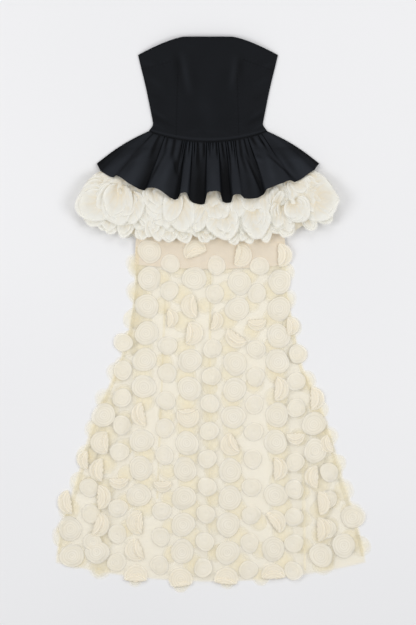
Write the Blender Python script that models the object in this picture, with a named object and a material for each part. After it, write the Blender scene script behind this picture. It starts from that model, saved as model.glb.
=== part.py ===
"""Strapless gown with a gathered peplum, laid flat on its back.

Black bodice front with four darts, two back panels and a concealed zip, a gathered
peplum, a ruffle tier of organza petals, a short slip and a long organza skirt
covered with round organza discs in columns.

Sizes are in millimetres until a mesh is made. X runs across the gown from its
centre line, "drop" is the distance down the gown from the top edge, and Z is the
height above the surface that the gown lies on. The finished part is in metres,
with its origin under the middle of the whole gown and the top edge toward +Y.
"""
import math
from collections import namedtuple

import bmesh
import bpy
import numpy as np
from mathutils import Vector
from mathutils.geometry import delaunay_2d_cdt

MM = 0.001

# Driving dimensions
GAP = 0.3                 # between pieces that touch
TOP_FLAT = 62             # half of the straight stretch of the top edge
TOP_HALF = 182            # half width at the top corners
TOP_FALL = 47             # how far the corners lie below the top edge
TOP_BEND = 1.35           # how the top edge bends down to the corners
WAIST_HALF = 155          # half width at the waist seam
WAIST_DROP = 273          # waist seam on the centre line
WAIST_RISE = 28           # how much higher the waist seam is at the sides
BACK_TOP_DROP = 24        # top edge of the back on the centre line
BODICE_WALL = 2.2         # boned and interlined bodice cloth
BACK_WALL = 2.0
PEPLUM_WALL = 1.5
SLIP_WALL = 1.0
SKIRT_WALL = 1.4          # two layers of organza with their seams
RUFFLE_WALL = 2.0
BACK_RUFFLE_WALL = 5.0    # petals pressed flat under the gown
SLIP_HEM_DROP = 601
LARGE_DISC = 29.5         # radius
SMALL_DISC = 23.5
DISC_RISE = 5.0           # stacked organza circles above the skirt
DISC_LIP = 3.5            # from the disc's edge to its full height
DISC_DIMPLE = 2.5         # height at the stitched centre
PETAL = 28.0              # radius of a ruffle petal
RUFFLE_LOBE = 14          # how far a petal may reach past the tier's outline
RUFFLE_SHOWN_DROP = 350   # above this the peplum hides the tier
GATHERS = 30              # small gathers in the peplum's front at the waist
GATHER_RISE = 2.0
SIDE_STEP = 14            # between the points of the skirt's sides where they show
HEM_STEP = 14.4           # between the points of its hem
SCALLOP = 22              # how far a disc may reach past the skirt's edge
FLAT_SKIRT = (660, 1400)  # drops between which the skirt lies flat on the floor
FLAT_RUFFLE = (360, 520)

BodiceSection = namedtuple("BodiceSection", "drop half crown roundness")
BODICE = [BodiceSection(*row) for row in (
    (0, 182, 18, 2.6),
    (47, 182, 24, 2.5),
    (85, 174, 30, 2.4),
    (140, 161, 24, 2.8),
    (200, 148, 16, 3.5),
    (226, 142, 11, 5.0),
    (246, 155, 7.8, 8.0),
    (273, 155, 7.8, 8.0),
)]

# Height of each level above the floor, by drop
Level = namedtuple("Level", "drop skirt_back skirt_front ruffle_back ruffle_front peplum")
LEVELS = [Level(*row) for row in (
    (240, 1.8, 6.1, 1.8, 13.1, 7.8),
    (290, 1.8, 6.1, 1.8, 13.1, 9.0),
    (320, 7.1, 11.4, 1.8, 13.1, 19.0),
    (360, 7.1, 11.4, 1.8, 13.1, 27.0),
    (400, 7.1, 11.4, 1.8, 13.1, 34.0),
    (440, 7.1, 11.4, 1.8, 13.1, 37.0),
    (460, 5.3, 9.6, 0.0, 13.1, 37.0),
    (500, 5.3, 9.6, 0.0, 13.1, 37.0),
    (525, 5.3, 9.6, 0.0, 19.5, 37.0),
    (545, 5.3, 9.6, 0.0, 21.0, 37.0),
    (585, 0.0, 4.3, 0.0, 21.0, 37.0),
    (605, 0.0, 4.3, 0.0, 21.0, 37.0),
    (630, 0.0, 1.7, 0.0, 21.0, 37.0),
    (1500, 0.0, 1.7, 0.0, 21.0, 37.0),
)]
HIDDEN_ROWS = (290, 320, 440, 460)
SLIP_ROWS = (290, 320, 440, 460, 545, 585)
SKIRT_ROWS = (290, 320, 440, 460, 545, 585, 605, 630)

# Hem of the peplum, left to right; rise is the height of the fold there
Fold = namedtuple("Fold", "x drop rise")
PEPLUM_HEM = [Fold(*row) for row in (
    (-287, 330, 0),
    (-269, 341, 3),
    (-243, 362, 5),
    (-226, 362, 12),
    (-198, 380, 14),
    (-166, 400, 4),
    (-157, 394, 14),
    (-130, 397, 18),
    (-91, 422, 8),
    (-78, 421, 3),
    (-71, 408, 14),
    (-55, 407, 16),
    (-48, 424, 5),
    (-36, 433, 2),
    (-9, 435, 2),
    (-2, 408, 16),
    (10, 403, 20),
    (31, 405, 18),
    (38, 429, 4),
    (59, 431, 2),
    (66, 413, 14),
    (84, 411, 17),
    (94, 421, 12),
    (127, 420, 10),
    (145, 410, 6),
    (152, 397, 16),
    (198, 380, 18),
    (213, 374, 14),
    (228, 377, 5),
    (271, 342, 7),
    (287, 330, 0),
)]

Section = namedtuple("Section", "drop left right")
SKIRT = [Section(*row) for row in (
    (250, -135, 135),
    (400, -165, 172),
    (541, -192, 204),
    (660, -194, 208),
    (760, -207, 226),
    (860, -238, 248),
    (960, -282, 293),
    (1060, -318, 326),
    (1160, -344, 354),
    (1260, -380, 388),
    (1350, -398, 412),
)]
HEM_DROP = 1418           # on the skirt's centre line
HEM_RISE = 50             # how much higher the hem is at the corners
HEM_CENTRE = 7
HEM_HALF = 405

# Columns of discs: the first and last disc of each, how many, and their radius
Column = namedtuple("Column", "x drop x_last drop_last count radius")
COLUMNS = {
    "centre": Column(21, 595, -12, 1382, 12, SMALL_DISC),
    "left_1": Column(-34, 558, -71, 1410, 13, LARGE_DISC),
    "left_2": Column(-96, 589, -126, 1373, 12, SMALL_DISC),
    "left_3": Column(-152, 558, -188, 1403, 13, LARGE_DISC),
    "left_4": Column(-219, 795, -239, 1365, 9, SMALL_DISC),
    "left_5": Column(-266, 913, -290, 1338, 7, LARGE_DISC),
    "left_6": Column(-316, 1100, -298, 1312, 4, SMALL_DISC),
    "left_7": Column(-361, 1209, -354, 1349, 3, LARGE_DISC),
    "right_1": Column(84, 567, 47, 1409, 13, LARGE_DISC),
    "right_2": Column(132, 595, 106, 1386, 12, SMALL_DISC),
    "right_3": Column(188, 567, 170, 1400, 13, LARGE_DISC),
    "right_4_top": Column(212, 752, 212, 752, 1, SMALL_DISC),
    "right_4": Column(231.6, 823, 220, 1388, 9, SMALL_DISC),
    "right_5": Column(272, 939, 292, 1348, 7, LARGE_DISC),
    "right_6": Column(316, 1057, 308, 1276, 4, SMALL_DISC),
    "right_7": Column(376, 1249, 353, 1322, 2, LARGE_DISC),
}

# Discs that lie folded: facing is the way the kept side points, in degrees from
# +X, and kept is how far the fold line lies beyond the centre, in radii
Folded = namedtuple("Folded", "column index facing kept")
FOLDED = [Folded(*row) for row in (
    ("left_1", 0, 110, 0.3),
    ("left_1", 2, 188, 0.15),
    ("left_1", 3, 352, 0.35),
    ("left_1", 6, 275, 0.45),
    ("left_2", 2, 0, 0.0),
    ("left_2", 8, 270, 0.0),
    ("left_3", 6, 190, 0.0),
    ("left_3", 10, 180, 0.3),
    ("left_3", 11, 200, 0.2),
    ("left_4", 5, 270, 0.0),
    ("left_5", 1, 5, 0.1),
    ("left_5", 4, 0, 0.0),
    ("left_5", 5, 340, 0.1),
    ("left_6", 0, 180, 0.0),
    ("left_7", 0, 190, 0.0),
    ("centre", 2, 345, 0.0),
    ("right_1", 0, 350, 0.25),
    ("right_1", 3, 235, 0.0),
    ("right_1", 7, 205, 0.2),
    ("right_2", 2, 275, 0.0),
    ("right_3", 0, 0, 0.05),
    ("right_3", 5, 355, 0.05),
    ("right_3", 8, 0, 0.0),
    ("right_3", 10, 35, 0.1),
    ("right_4_top", 0, 0, 0.1),
    ("right_4", 3, 270, 0.0),
    ("right_5", 0, 0, 0.0),
    ("right_6", 0, 200, 0.0),
)]
HALF_MOON_RISE = 7.0

# Soft lengthwise folds of the skirt's front
Ridge = namedtuple("Ridge", "x drop x_last drop_last width rise")
RIDGES = [Ridge(*row) for row in (
    (6, 700, -4, 1400, 48, 6),
    (-190, 760, -282, 1360, 46, 7),
    (196, 760, 250, 1380, 46, 8),
    (262, 960, 322, 1340, 40, 6),
)]

# Outline of the ruffle tier, down the left side, along the hem and up the right
RUFFLE = (
    (-150, 325), (-215, 330), (-262, 346), (-287, 372), (-333, 424), (-325, 455), (-287, 486),
    (-245, 510), (-196, 524), (-120, 532), (0, 534), (120, 534), (198, 532), (252, 502),
    (296, 475), (328, 450), (337, 422), (293, 375), (268, 345), (215, 330), (150, 325))

# Rows of petals on the tier: their centres lie on an arc across the gown
PetalRow = namedtuple("PetalRow", "x x_last drop sag count rise")
PETAL_ROWS = [PetalRow(*row) for row in (
    (-262, 266, 396, 10, 10, 11),
    (-292, 296, 446, 12, 11, 18),
    (-228, 232, 492, 10, 9, 20),
)]

# Colour (linear), roughness and metallic value of each material
BLACK = (0.010, 0.011, 0.015)
CREAM = (0.80, 0.70, 0.52)
NUDE = (0.66, 0.45, 0.32)
MATERIALS = {
    "black_cloth": (BLACK, 0.75, 0.0),
    "cream_organza": (CREAM, 0.55, 0.0),
    "nude_lining": (NUDE, 0.5, 0.0),
    "zip_tape": ((0.012, 0.012, 0.014), 0.7, 0.0),
    "zip_metal": ((0.10, 0.10, 0.11), 0.35, 1.0),
}


def clear_scene():
    for item in list(bpy.data.objects):
        bpy.data.objects.remove(item, do_unlink=True)


def make_material(name):
    colour, roughness, metallic = MATERIALS[name]
    material = bpy.data.materials.new(name)
    material.use_nodes = True
    shader = material.node_tree.nodes["Principled BSDF"]
    shader.inputs["Base Color"].default_value = (*colour, 1.0)
    shader.inputs["Roughness"].default_value = roughness
    shader.inputs["Metallic"].default_value = metallic
    return material


def make_node(name, points, faces, material, crease=50):
    """One closed body from points (x, drop, z) in millimetres."""
    points = np.asarray(points, float)
    placed = np.column_stack((points[:, 0], -points[:, 1], points[:, 2])) * MM
    mesh = bpy.data.meshes.new(name)
    mesh.from_pydata(placed.tolist(), [], faces)
    work = bmesh.new()
    work.from_mesh(mesh)
    bmesh.ops.recalc_face_normals(work, faces=work.faces)
    work.to_mesh(mesh)
    work.free()
    mesh.materials.append(material)
    mesh.shade_smooth()
    mesh.set_sharp_from_angle(angle=math.radians(crease))
    item = bpy.data.objects.new(name, mesh)
    bpy.context.collection.objects.link(item)
    return item


def column(rows, field):
    return np.array([getattr(row, field) for row in rows], float)


def look_up(rows, field, at, key="drop"):
    """The value of one column of a table, read in straight lines between its rows."""
    return np.interp(at, column(rows, key), column(rows, field))


def level(field, drop):
    return look_up(LEVELS, field, drop)


def grid_wall(name, top, bottom, material, crease=50):
    """A closed wall from two grids of points of the same shape."""
    rows, columns = top.shape[:2]
    count = rows * columns

    def at(i, j, side=0):
        return side * count + i * columns + j

    faces = []
    for i in range(rows - 1):
        for j in range(columns - 1):
            faces.append((at(i, j), at(i + 1, j), at(i + 1, j + 1), at(i, j + 1)))
            faces.append((at(i, j, 1), at(i, j + 1, 1), at(i + 1, j + 1, 1), at(i + 1, j, 1)))
    border = [(0, j) for j in range(columns - 1)]
    border += [(i, columns - 1) for i in range(rows - 1)]
    border += [(rows - 1, j) for j in range(columns - 1, 0, -1)]
    border += [(i, 0) for i in range(rows - 1, 0, -1)]
    for a, b in zip(border, border[1:] + border[:1]):
        faces.append((at(*a), at(*b), at(*b, 1), at(*a, 1)))
    points = np.vstack((top.reshape(-1, 3), bottom.reshape(-1, 3)))
    return make_node(name, points, faces, material, crease)


def triangulate(outline, inner, lines):
    """Triangles inside an outline, through the inner points and along the lines.

    Returns the points of the result as indices into outline + inner + lines, and
    the triangles.
    """
    points = [*outline, *inner]
    edges = []
    for line in lines:
        first = len(points)
        points.extend(line)
        edges.extend((k, k + 1) for k in range(first, first + len(line) - 1))
    ring = list(reversed(range(len(outline))))
    result = delaunay_2d_cdt([Vector(p) for p in points], edges, [ring], 1, 1e-4, True)
    source = [origin[0] for origin in result[3]]
    triangles = [face for face, within in zip(result[2], result[5]) if within]
    return np.array(points)[source], source, triangles


def outline_wall(name, outline, top_inner, bottom_inner, heights, wall, material, lines=None,
                 crease=50):
    """A closed wall inside one outline.

    top_inner holds rows (x, drop, rise) and bottom_inner holds rows (x, drop). The
    underside is at heights(x, drop), the upper side one wall higher plus its rise.
    lines holds level lines for the upper side and for the underside.
    """
    top_lines, bottom_lines = lines or ((), ())
    top_xy = [tuple(row[:2]) for row in top_inner]
    rises = [0.0] * len(outline) + [row[2] for row in top_inner]
    rises += [0.0] * sum(len(line) for line in top_lines)
    sides = []
    for inner, extra, side in ((top_xy, top_lines, 1), (bottom_inner, bottom_lines, 0)):
        xy, source, triangles = triangulate(outline, inner, extra)
        z = heights(xy[:, 0], xy[:, 1])
        if side:
            z = z + wall + np.array(rises)[source]
        sides.append((np.column_stack((xy, z)), source, triangles))
    (top, top_source, top_faces), (bottom, bottom_source, bottom_faces) = sides
    first = len(top)
    faces = [tuple(face) for face in top_faces]
    faces += [tuple(first + k for k in reversed(face)) for face in bottom_faces]
    top_rim = [top_source.index(k) for k in range(len(outline))]
    bottom_rim = [first + bottom_source.index(k) for k in range(len(outline))]
    for k in range(len(outline)):
        after = (k + 1) % len(outline)
        faces.append((top_rim[k], top_rim[after], bottom_rim[after], bottom_rim[k]))
    return make_node(name, np.vstack((top, bottom)), faces, material, crease)


def edge_distance(points, outline):
    """Signed distance of each point from an outline, positive inside it."""
    points = np.asarray(points, float)
    start = np.asarray(outline, float)
    step = np.roll(start, -1, axis=0) - start
    offset = points[:, None] - start[None]
    along = np.clip((offset * step).sum(2) / (step ** 2).sum(1), 0, 1)
    distance = np.linalg.norm(offset - along[..., None] * step, axis=2).min(1)
    spans = (start[:, 1] > points[:, 1, None]) != (start[:, 1] + step[:, 1] > points[:, 1, None])
    height = np.where(step[:, 1] == 0, 1, step[:, 1])
    crossing = start[:, 0] + (points[:, 1, None] - start[:, 1]) / height * step[:, 0]
    inside = (spans & (points[:, 0, None] < crossing)).sum(1) % 2 == 1
    return np.where(inside, distance, -distance)


def top_edge(x):
    return TOP_FALL * (np.clip((np.abs(x) - TOP_FLAT) / (TOP_HALF - TOP_FLAT), 0, 1)) ** TOP_BEND


def back_top_edge(x):
    return BACK_TOP_DROP + (TOP_FALL - BACK_TOP_DROP) * (np.abs(x) / TOP_HALF) ** 2


def waist_seam(x):
    return WAIST_DROP - WAIST_RISE * (x / WAIST_HALF) ** 2


def dart_line(drop):
    """Half the distance between the two waist darts."""
    return np.interp(drop, (94, 262), (77, 83))


def bodice_front(material):
    """One piece with a dart from each side and one up from each half of the waist."""
    dart_top = 94
    dart_width = 3
    dart_depth = 0.9
    bust_dart = 0.235
    bust_dart_reach = 94
    side_steps = (0.0, 0.03, 0.25, 0.5, 0.72, 0.88, 0.96, 1.0)
    centre_steps = (0.0, 0.3, 0.6, 0.85, 0.97)
    rows = (0, 0.02, 0.1, bust_dart - 0.012, bust_dart, bust_dart + 0.012,
            0.3, 0.4, 0.5, 0.6, 0.7, 0.8, 0.88, 0.94, 1.0)
    half_steps = [*centre_steps, *(1 + np.array(side_steps))]
    steps = [-s for s in reversed(half_steps[1:])] + half_steps
    top = np.zeros((len(rows), len(steps), 3))
    bottom = top.copy()
    for i, v in enumerate(rows):
        side_drop = TOP_FALL + v * (waist_seam(WAIST_HALF) - TOP_FALL)
        half = look_up(BODICE, "half", side_drop)
        dart = dart_line(side_drop + 30)
        for j, step in enumerate(steps):
            reach = abs(step)
            x = reach * dart if reach <= 1 else dart + (reach - 1) * (half - dart)
            drop = top_edge(x) + v * (waist_seam(x) - GAP / 2 - top_edge(x))
            side = min(1.0, x / half)
            crown = look_up(BODICE, "crown", drop)
            floor = BACK_WALL + GAP
            arch = 1 - side ** look_up(BODICE, "roundness", drop)
            z = floor + (crown - floor) * arch
            groove = 0.0
            if reach == 1 and drop > dart_top:
                groove = dart_depth
            if v == bust_dart and bust_dart_reach < x < half - dart_width:
                groove = dart_depth
            x = math.copysign(x, step)
            bottom[i, j] = (x, drop, z)
            top[i, j] = (x, drop, z + BODICE_WALL - groove)
    return grid_wall("bodice_front", top, bottom, material)


def bodice_back(name, side, material):
    """Half of the back, flat on the floor, up to the zip on the centre line."""
    columns = np.linspace(0, 1, 8)
    rows = np.linspace(0, 1, 9)
    inset = 1.0
    top = np.zeros((len(rows), len(columns), 3))
    for i, v in enumerate(rows):
        half = look_up(BODICE, "half", TOP_FALL + v * (waist_seam(WAIST_HALF) - TOP_FALL)) - inset
        for j, u in enumerate(columns):
            x = GAP / 2 + u * (half - GAP / 2)
            drop = back_top_edge(x) + v * (waist_seam(x) - GAP / 2 - back_top_edge(x))
            top[i, j] = (side * x, drop, BACK_WALL)
    bottom = top * (1, 1, 0)
    return grid_wall(name, top, bottom, material)


def back_zip(material):
    """Both tapes of the concealed zip with the coil between them, inside the back."""
    half_tape = 12
    half_coil = 2.5
    tape = 0.8
    coil = 1.8
    floor = BACK_WALL + GAP
    first = BACK_TOP_DROP + 4
    last = WAIST_DROP - 3
    across = [(-half_tape, tape), (-half_coil - 0.5, tape), (-half_coil, coil),
              (half_coil, coil), (half_coil + 0.5, tape), (half_tape, tape)]
    top = np.array([[(x, drop, floor + z) for x, z in across] for drop in (first, last)])
    bottom = np.array([[(x, drop, floor) for x, _ in across] for drop in (first, last)])
    return grid_wall("back_zip", top, bottom, material, crease=30)


def zip_slider(material):
    """Slider at the top of the zip, with its pull lying down along the coil."""
    half_width = 4
    foot = BACK_WALL + GAP + 1.8 + GAP
    profile = [(32, 0), (43, 0), (43, 1.6), (62, 0.6), (62, 1.8), (43, 3.0), (32, 3.2)]
    points = [(x, drop, foot + z) for x in (-half_width, half_width) for drop, z in profile]
    count = len(profile)
    faces = [tuple(range(count)), tuple(reversed(range(count, 2 * count)))]
    faces += [(k, (k + 1) % count, count + (k + 1) % count, count + k) for k in range(count)]
    return make_node("zip_slider", points, faces, material, crease=30)


def spline(values, t):
    """Catmull-Rom curve through the values, read at positions along their index."""
    values = np.asarray(values, float)
    padded = np.concatenate((2 * values[:1] - values[1:2], values, 2 * values[-1:] - values[-2:-1]))
    k = np.clip(np.floor(t).astype(int), 0, len(values) - 2)
    f = t - k
    a, b, c, d = (padded[k + n] for n in range(4))
    return b + 0.5 * f * (c - a + f * (2 * a - 5 * b + 4 * c - d + f * (3 * (b - c) + d - a)))


def peplum_grid(rows, per_span):
    """Points of the peplum: down from the waist seam, and across along its hem."""
    t = np.linspace(0, len(PEPLUM_HEM) - 1, (len(PEPLUM_HEM) - 1) * per_span + 1)
    hem_x = np.interp(t, np.arange(len(PEPLUM_HEM)), column(PEPLUM_HEM, "x"))
    hem_drop = spline(column(PEPLUM_HEM, "drop"), t)
    side = hem_x / PEPLUM_HEM[-1].x
    waist_x = WAIST_HALF * (0.75 * np.sin(side * math.pi / 2) + 0.25 * side)
    waist_drop = waist_seam(waist_x) + GAP / 2
    v = np.array(rows)[:, None]
    bow = 8 * np.sin(math.pi * v) * side ** 4
    x = waist_x + v * (hem_x - waist_x) + np.sign(side) * bow * 0.4
    drop = waist_drop + v * (hem_drop - waist_drop) - bow
    return x, drop, v, side, t


def peplum_front(material):
    rows = (0, 0.05, 0.13, 0.26, 0.45, 0.7, 1.0)
    x, drop, v, side, t = peplum_grid(rows, 4)
    floor = PEPLUM_WALL + GAP
    base = level("peplum", drop)
    base = floor + (base - floor) * (1 - side ** 20)
    fold = np.clip(spline(column(PEPLUM_HEM, "rise"), t), 0, None) * v ** 0.75
    wave = 0.5 + 0.5 * np.cos(2 * math.pi * GATHERS * t / t[-1] + 0.9 * np.sin(t))
    gather = GATHER_RISE * wave * np.interp(v, (0, 0.05, 0.26, 0.6), (0.3, 1, 0.8, 0))
    z = base + fold + gather * (1 - side ** 20)
    slope = np.abs(np.gradient(z, axis=1) / np.gradient(x, axis=1))
    wall = PEPLUM_WALL * np.minimum(np.sqrt(1 + slope ** 2), 1.8)
    bottom = np.stack((x, drop, z), axis=2)
    top = np.stack((x, drop, z + wall), axis=2)
    return grid_wall("peplum_front", top, bottom, material)


def peplum_back(material):
    """The back half, flat on the floor and a little shorter than the front."""
    rows = (0, 0.5, 0.985)
    x, drop, _, _, _ = peplum_grid(rows, 1)
    top = np.stack((x, drop, np.full_like(x, PEPLUM_WALL)), axis=2)
    return grid_wall("peplum_back", top, top * (1, 1, 0), material)


def skirt_discs():
    """Every disc as (x, drop, radius, facing, kept); facing is None where it is whole."""
    folded = {(row.column, row.index): row for row in FOLDED}
    discs = []
    for name, col in COLUMNS.items():
        for k in range(col.count):
            f = k / max(col.count - 1, 1)
            x = col.x + f * (col.x_last - col.x)
            drop = col.drop + f * (col.drop_last - col.drop)
            row = folded.get((name, k))
            facing = math.radians(row.facing) if row else None
            discs.append((x, drop, col.radius, facing, row.kept if row else 0.0))
    return discs


def scalloped(points, away, circles, limit):
    """Moves each point of an outline out to the far edge of the circles over it."""
    moved = []
    for point, direction in zip(points, away):
        reach = 0.0
        for cx, cy, radius in circles:
            offset = np.array((cx, cy)) - point
            along = offset @ direction
            across = offset @ offset - along ** 2
            if across < radius ** 2:
                reach = max(reach, along + math.sqrt(radius ** 2 - across))
        moved.append(np.array(point) + min(reach, limit) * np.array(direction))
    return moved


def hem_drop(x):
    return HEM_DROP - HEM_RISE * ((x - HEM_CENTRE) / HEM_HALF) ** 2


def skirt_outline(discs, inset=0.0):
    """Down the left side, along the hem and up the right side, with disc scallops."""
    first = SKIRT[0]
    first_shown = 558
    under_ruffle = 500
    corner = 6
    shown = np.arange(first_shown, SKIRT[-1].drop - corner - 2, SIDE_STEP)
    start = waist_seam(first.left + inset) + GAP
    drops = np.array(sorted({start, *SKIRT_ROWS, under_ruffle, *shown.tolist()}))
    left = look_up(SKIRT, "left", drops) + inset
    right = look_up(SKIRT, "right", drops) - inset
    waist = np.linspace(first.right - inset, first.left + inset, 10)[1:-1]
    corner_left = SKIRT[-1].left + inset
    corner_right = SKIRT[-1].right - inset
    hem = np.arange(corner_left + corner, corner_right - corner, HEM_STEP)
    points = [np.array((x, d)) for x, d in zip(left, drops)]
    away = [np.array((-1.0, 0.0))] * len(drops)
    points += [np.array((x, hem_drop(x) - inset)) for x in hem]
    away += [np.array((0.0, 1.0))] * len(hem)
    points += [np.array((x, d)) for x, d in zip(right[::-1], drops[::-1])]
    away += [np.array((1.0, 0.0))] * len(drops)
    points += [np.array((x, waist_seam(x) + GAP)) for x in waist]
    away += [np.array((0.0, -1.0))] * len(waist)
    circles = [(x, d, radius) for x, d, radius, _, _ in discs]
    return [tuple(p) for p in scalloped(points, away, circles, SCALLOP - inset)]


def ring(x, drop, radius, facing, fold, count):
    """Points round a disc, or round the side of the fold line that a folded disc keeps.

    fold is the distance of the fold line beyond the disc's centre.
    """
    if facing is None:
        angle = 2 * math.pi * (np.arange(count) + 0.5) / count
        return [(x + radius * math.cos(a), drop - radius * math.sin(a)) for a in angle]
    half = math.acos(np.clip(-fold / radius, -0.98, 0.98))
    arc = [(radius * math.cos(a), radius * math.sin(a)) for a in np.linspace(-half, half, count - 2)]
    (x0, y0), (x1, y1) = arc[-1], arc[0]
    line = [(x0 + f * (x1 - x0), y0 + f * (y1 - y0)) for f in (1 / 3, 2 / 3)]
    c, s = math.cos(facing), math.sin(facing)
    return [(x + a * c - b * s, drop - a * s - b * c) for a, b in arc + line]


def disc_points(discs, outline):
    """Raised points of the discs: edge, full height and stitched centre."""
    rows = []
    for number, (x, drop, radius, facing, kept) in enumerate(discs):
        count = 10 if radius == LARGE_DISC else 8
        rise = DISC_RISE if facing is None else HALF_MOON_RISE
        fold = kept * radius
        edge = ring(x, drop, radius, facing, fold, count)
        full = ring(x, drop, radius - DISC_LIP, facing, fold - DISC_LIP, count)
        own = [(*p, 0.0) for p in edge] + [(*p, rise) for p in full]
        if facing is None:
            own.append((x, drop, DISC_DIMPLE))
        for p in own:
            others = [o for k, o in enumerate(discs) if k < number and o[3] is None]
            covered = any(math.hypot(p[0] - o[0], p[1] - o[1]) < o[2] + 1 for o in others)
            near = any(math.hypot(p[0] - q[0], p[1] - q[1]) < 1.5 for q in rows)
            if not covered and not near:
                rows.append(p)
    keep = edge_distance([row[:2] for row in rows], outline) > 3
    return [row for row, kept in zip(rows, keep) if kept]


def skirt_folds(x, drop):
    """Height of the soft lengthwise folds of the skirt's front."""
    total = np.zeros_like(x)
    for ridge in RIDGES:
        f = np.clip((drop - ridge.drop) / (ridge.drop_last - ridge.drop), 0, 1)
        centre = ridge.x + f * (ridge.x_last - ridge.x)
        across = np.clip(np.abs(x - centre) / ridge.width, 0, 1)
        total = total + ridge.rise * np.minimum(f * 3, 1) * (0.5 + 0.5 * np.cos(math.pi * across))
    return total


def level_lines(outline, drops, spacing, inside):
    """Lines across the wall at the given drops, ending a little inside its outline."""
    lines = []
    for drop in drops:
        across = np.arange(-HEM_HALF, HEM_HALF, spacing)
        line = [(x, drop) for x in across if edge_distance([(x, drop)], outline)[0] > inside]
        lines.append(line)
    return lines


def plain_points(outline, first, last, spacing, margin=8):
    """Sparse points for a plain side of a wall."""
    points = [(x, drop) for drop in np.arange(first, last, spacing)
              for x in np.arange(-HEM_HALF, HEM_HALF, spacing)]
    keep = edge_distance(points, outline) > margin
    return [p for p, inside in zip(points, keep) if inside]


def skirt_front(material, discs):
    outline = skirt_outline(discs)
    raised = disc_points(discs, outline)
    clearance = 6
    between = plain_points(outline, *FLAT_SKIRT, 46)
    centres = [(x, drop, radius) for x, drop, radius, _, _ in discs]
    free = [p for p in between
            if all(math.hypot(p[0] - c[0], p[1] - c[1]) > c[2] + clearance for c in centres)]
    raised += [(*p, 0.0) for p in free]
    under = plain_points(outline, *FLAT_SKIRT, 44)

    def heights(x, drop):
        return level("skirt_front", drop) + skirt_folds(x, drop)

    lines = (level_lines(outline, HIDDEN_ROWS, 60, 12), level_lines(outline, SKIRT_ROWS, 40, 6))
    return outline_wall("skirt_front", outline, raised, under, heights, SKIRT_WALL, material, lines)


def skirt_back(material, discs):
    """Plain and flat on the floor: its discs lie pressed under it."""
    outline = skirt_outline(discs, inset=3.0)
    under = plain_points(outline, *FLAT_SKIRT, 90)
    top = [(*p, 0.0) for p in under]

    def heights(x, drop):
        return level("skirt_back", drop) + 0 * x

    rows = level_lines(outline, SLIP_ROWS, 60, 12)
    return outline_wall("skirt_back", outline, top, under, heights, SKIRT_WALL, material,
                        (rows, rows))


def slip(name, floor, material):
    """A short panel between the two layers of the skirt."""
    drops = np.array([SKIRT[0].drop, *SLIP_ROWS, SLIP_HEM_DROP])
    inset = 4
    u = np.linspace(0, 1, 5)
    left = look_up(SKIRT, "left", drops)[:, None] + inset
    right = look_up(SKIRT, "right", drops)[:, None] - inset
    x = left + u * (right - left)
    drop = np.repeat(drops[:, None], len(u), axis=1)
    drop[0] = waist_seam(x[0]) + GAP
    z = level("skirt_back", drop) + floor
    bottom = np.stack((x, drop, z), axis=2)
    top_side = np.stack((x, drop, z + SLIP_WALL), axis=2)
    return grid_wall(name, top_side, bottom, material)


def petals():
    """Centres of the ruffle's petals with their height."""
    rows = []
    for row in PETAL_ROWS:
        for k in range(row.count):
            f = k / (row.count - 1)
            x = row.x + f * (row.x_last - row.x)
            drop = row.drop + row.sag * math.sin(math.pi * f)
            rows.append((x, drop, row.rise))
    return rows


def ruffle_outline(inset, spacing):
    """The tier's outline with a lobe at each petal that reaches past it."""
    corners = np.array(RUFFLE, float)
    lengths = np.linalg.norm(np.diff(corners, axis=0), axis=1)
    along = np.concatenate(([0], np.cumsum(lengths)))
    count = int(along[-1] / spacing)
    at = np.linspace(0, along[-1], count)
    points = np.column_stack([np.interp(at, along, corners[:, k]) for k in (0, 1)])
    heading = np.gradient(points, axis=0)
    heading /= np.linalg.norm(heading, axis=1)[:, None]
    away = np.column_stack((-heading[:, 1], heading[:, 0]))
    circles = [(x, drop, PETAL) for x, drop, _ in petals()]
    hidden = points[:, 1] < RUFFLE_SHOWN_DROP
    moved = np.array(scalloped(points, away, circles, RUFFLE_LOBE))
    moved[hidden] = points[hidden]
    return [tuple(p) for p in moved - away * inset]


def ruffle_front(material):
    """Petals raised over a plain underside."""
    outline = ruffle_outline(0.0, 11)
    apart = 6
    rim = 16
    rows = []
    rings = ((1.0, 0.1, 12), (0.8, 0.7, 12), (0.45, 1.0, 7))  # radius and rise as shares, points
    for x, drop, rise in petals():
        for radius, share, count in rings:
            turn = 0.5 * math.sin(x * 0.05)
            for k in range(count):
                a = 2 * math.pi * k / count + turn
                p = (x + PETAL * radius * math.cos(a), drop + PETAL * radius * math.sin(a))
                if all(math.hypot(p[0] - q[0], p[1] - q[1]) > apart for q in rows):
                    rows.append((*p, rise * share))
        rows.append((x, drop, rise * 0.9))
    distance = edge_distance([row[:2] for row in rows], outline)
    raised = [(x, drop, rise * min(1, d / rim)) for (x, drop, rise), d in zip(rows, distance)
              if d > rim / 4 and drop > RUFFLE_SHOWN_DROP]
    under = plain_points(outline, *FLAT_RUFFLE, 50)

    def heights(x, drop):
        return level("ruffle_front", drop) + 0 * x

    lines = ((), level_lines(outline, (500, 525), 50, 10))
    return outline_wall("ruffle_front", outline, raised, under, heights, RUFFLE_WALL, material,
                        lines)


def ruffle_back(material):
    """The back of the tier, pressed flat under the gown."""
    outline = ruffle_outline(2.0, 16)
    rows = level_lines(outline, (440, 460), 60, 10)

    def heights(x, drop):
        return level("ruffle_back", drop) + 0 * x

    return outline_wall("ruffle_back", outline, [], [], heights, BACK_RUFFLE_WALL, material,
                        (rows, rows))


def centre_on_floor():
    """Moves every mesh so that the origin is under the middle of the gown."""
    items = list(bpy.context.collection.objects)
    corners = np.array([v.co[:] for item in items for v in item.data.vertices])
    middle = (corners.min(0) + corners.max(0)) / 2
    for item in items:
        for vertex in item.data.vertices:
            vertex.co.x -= middle[0]
            vertex.co.y -= middle[1]
        item.data.update()


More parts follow.
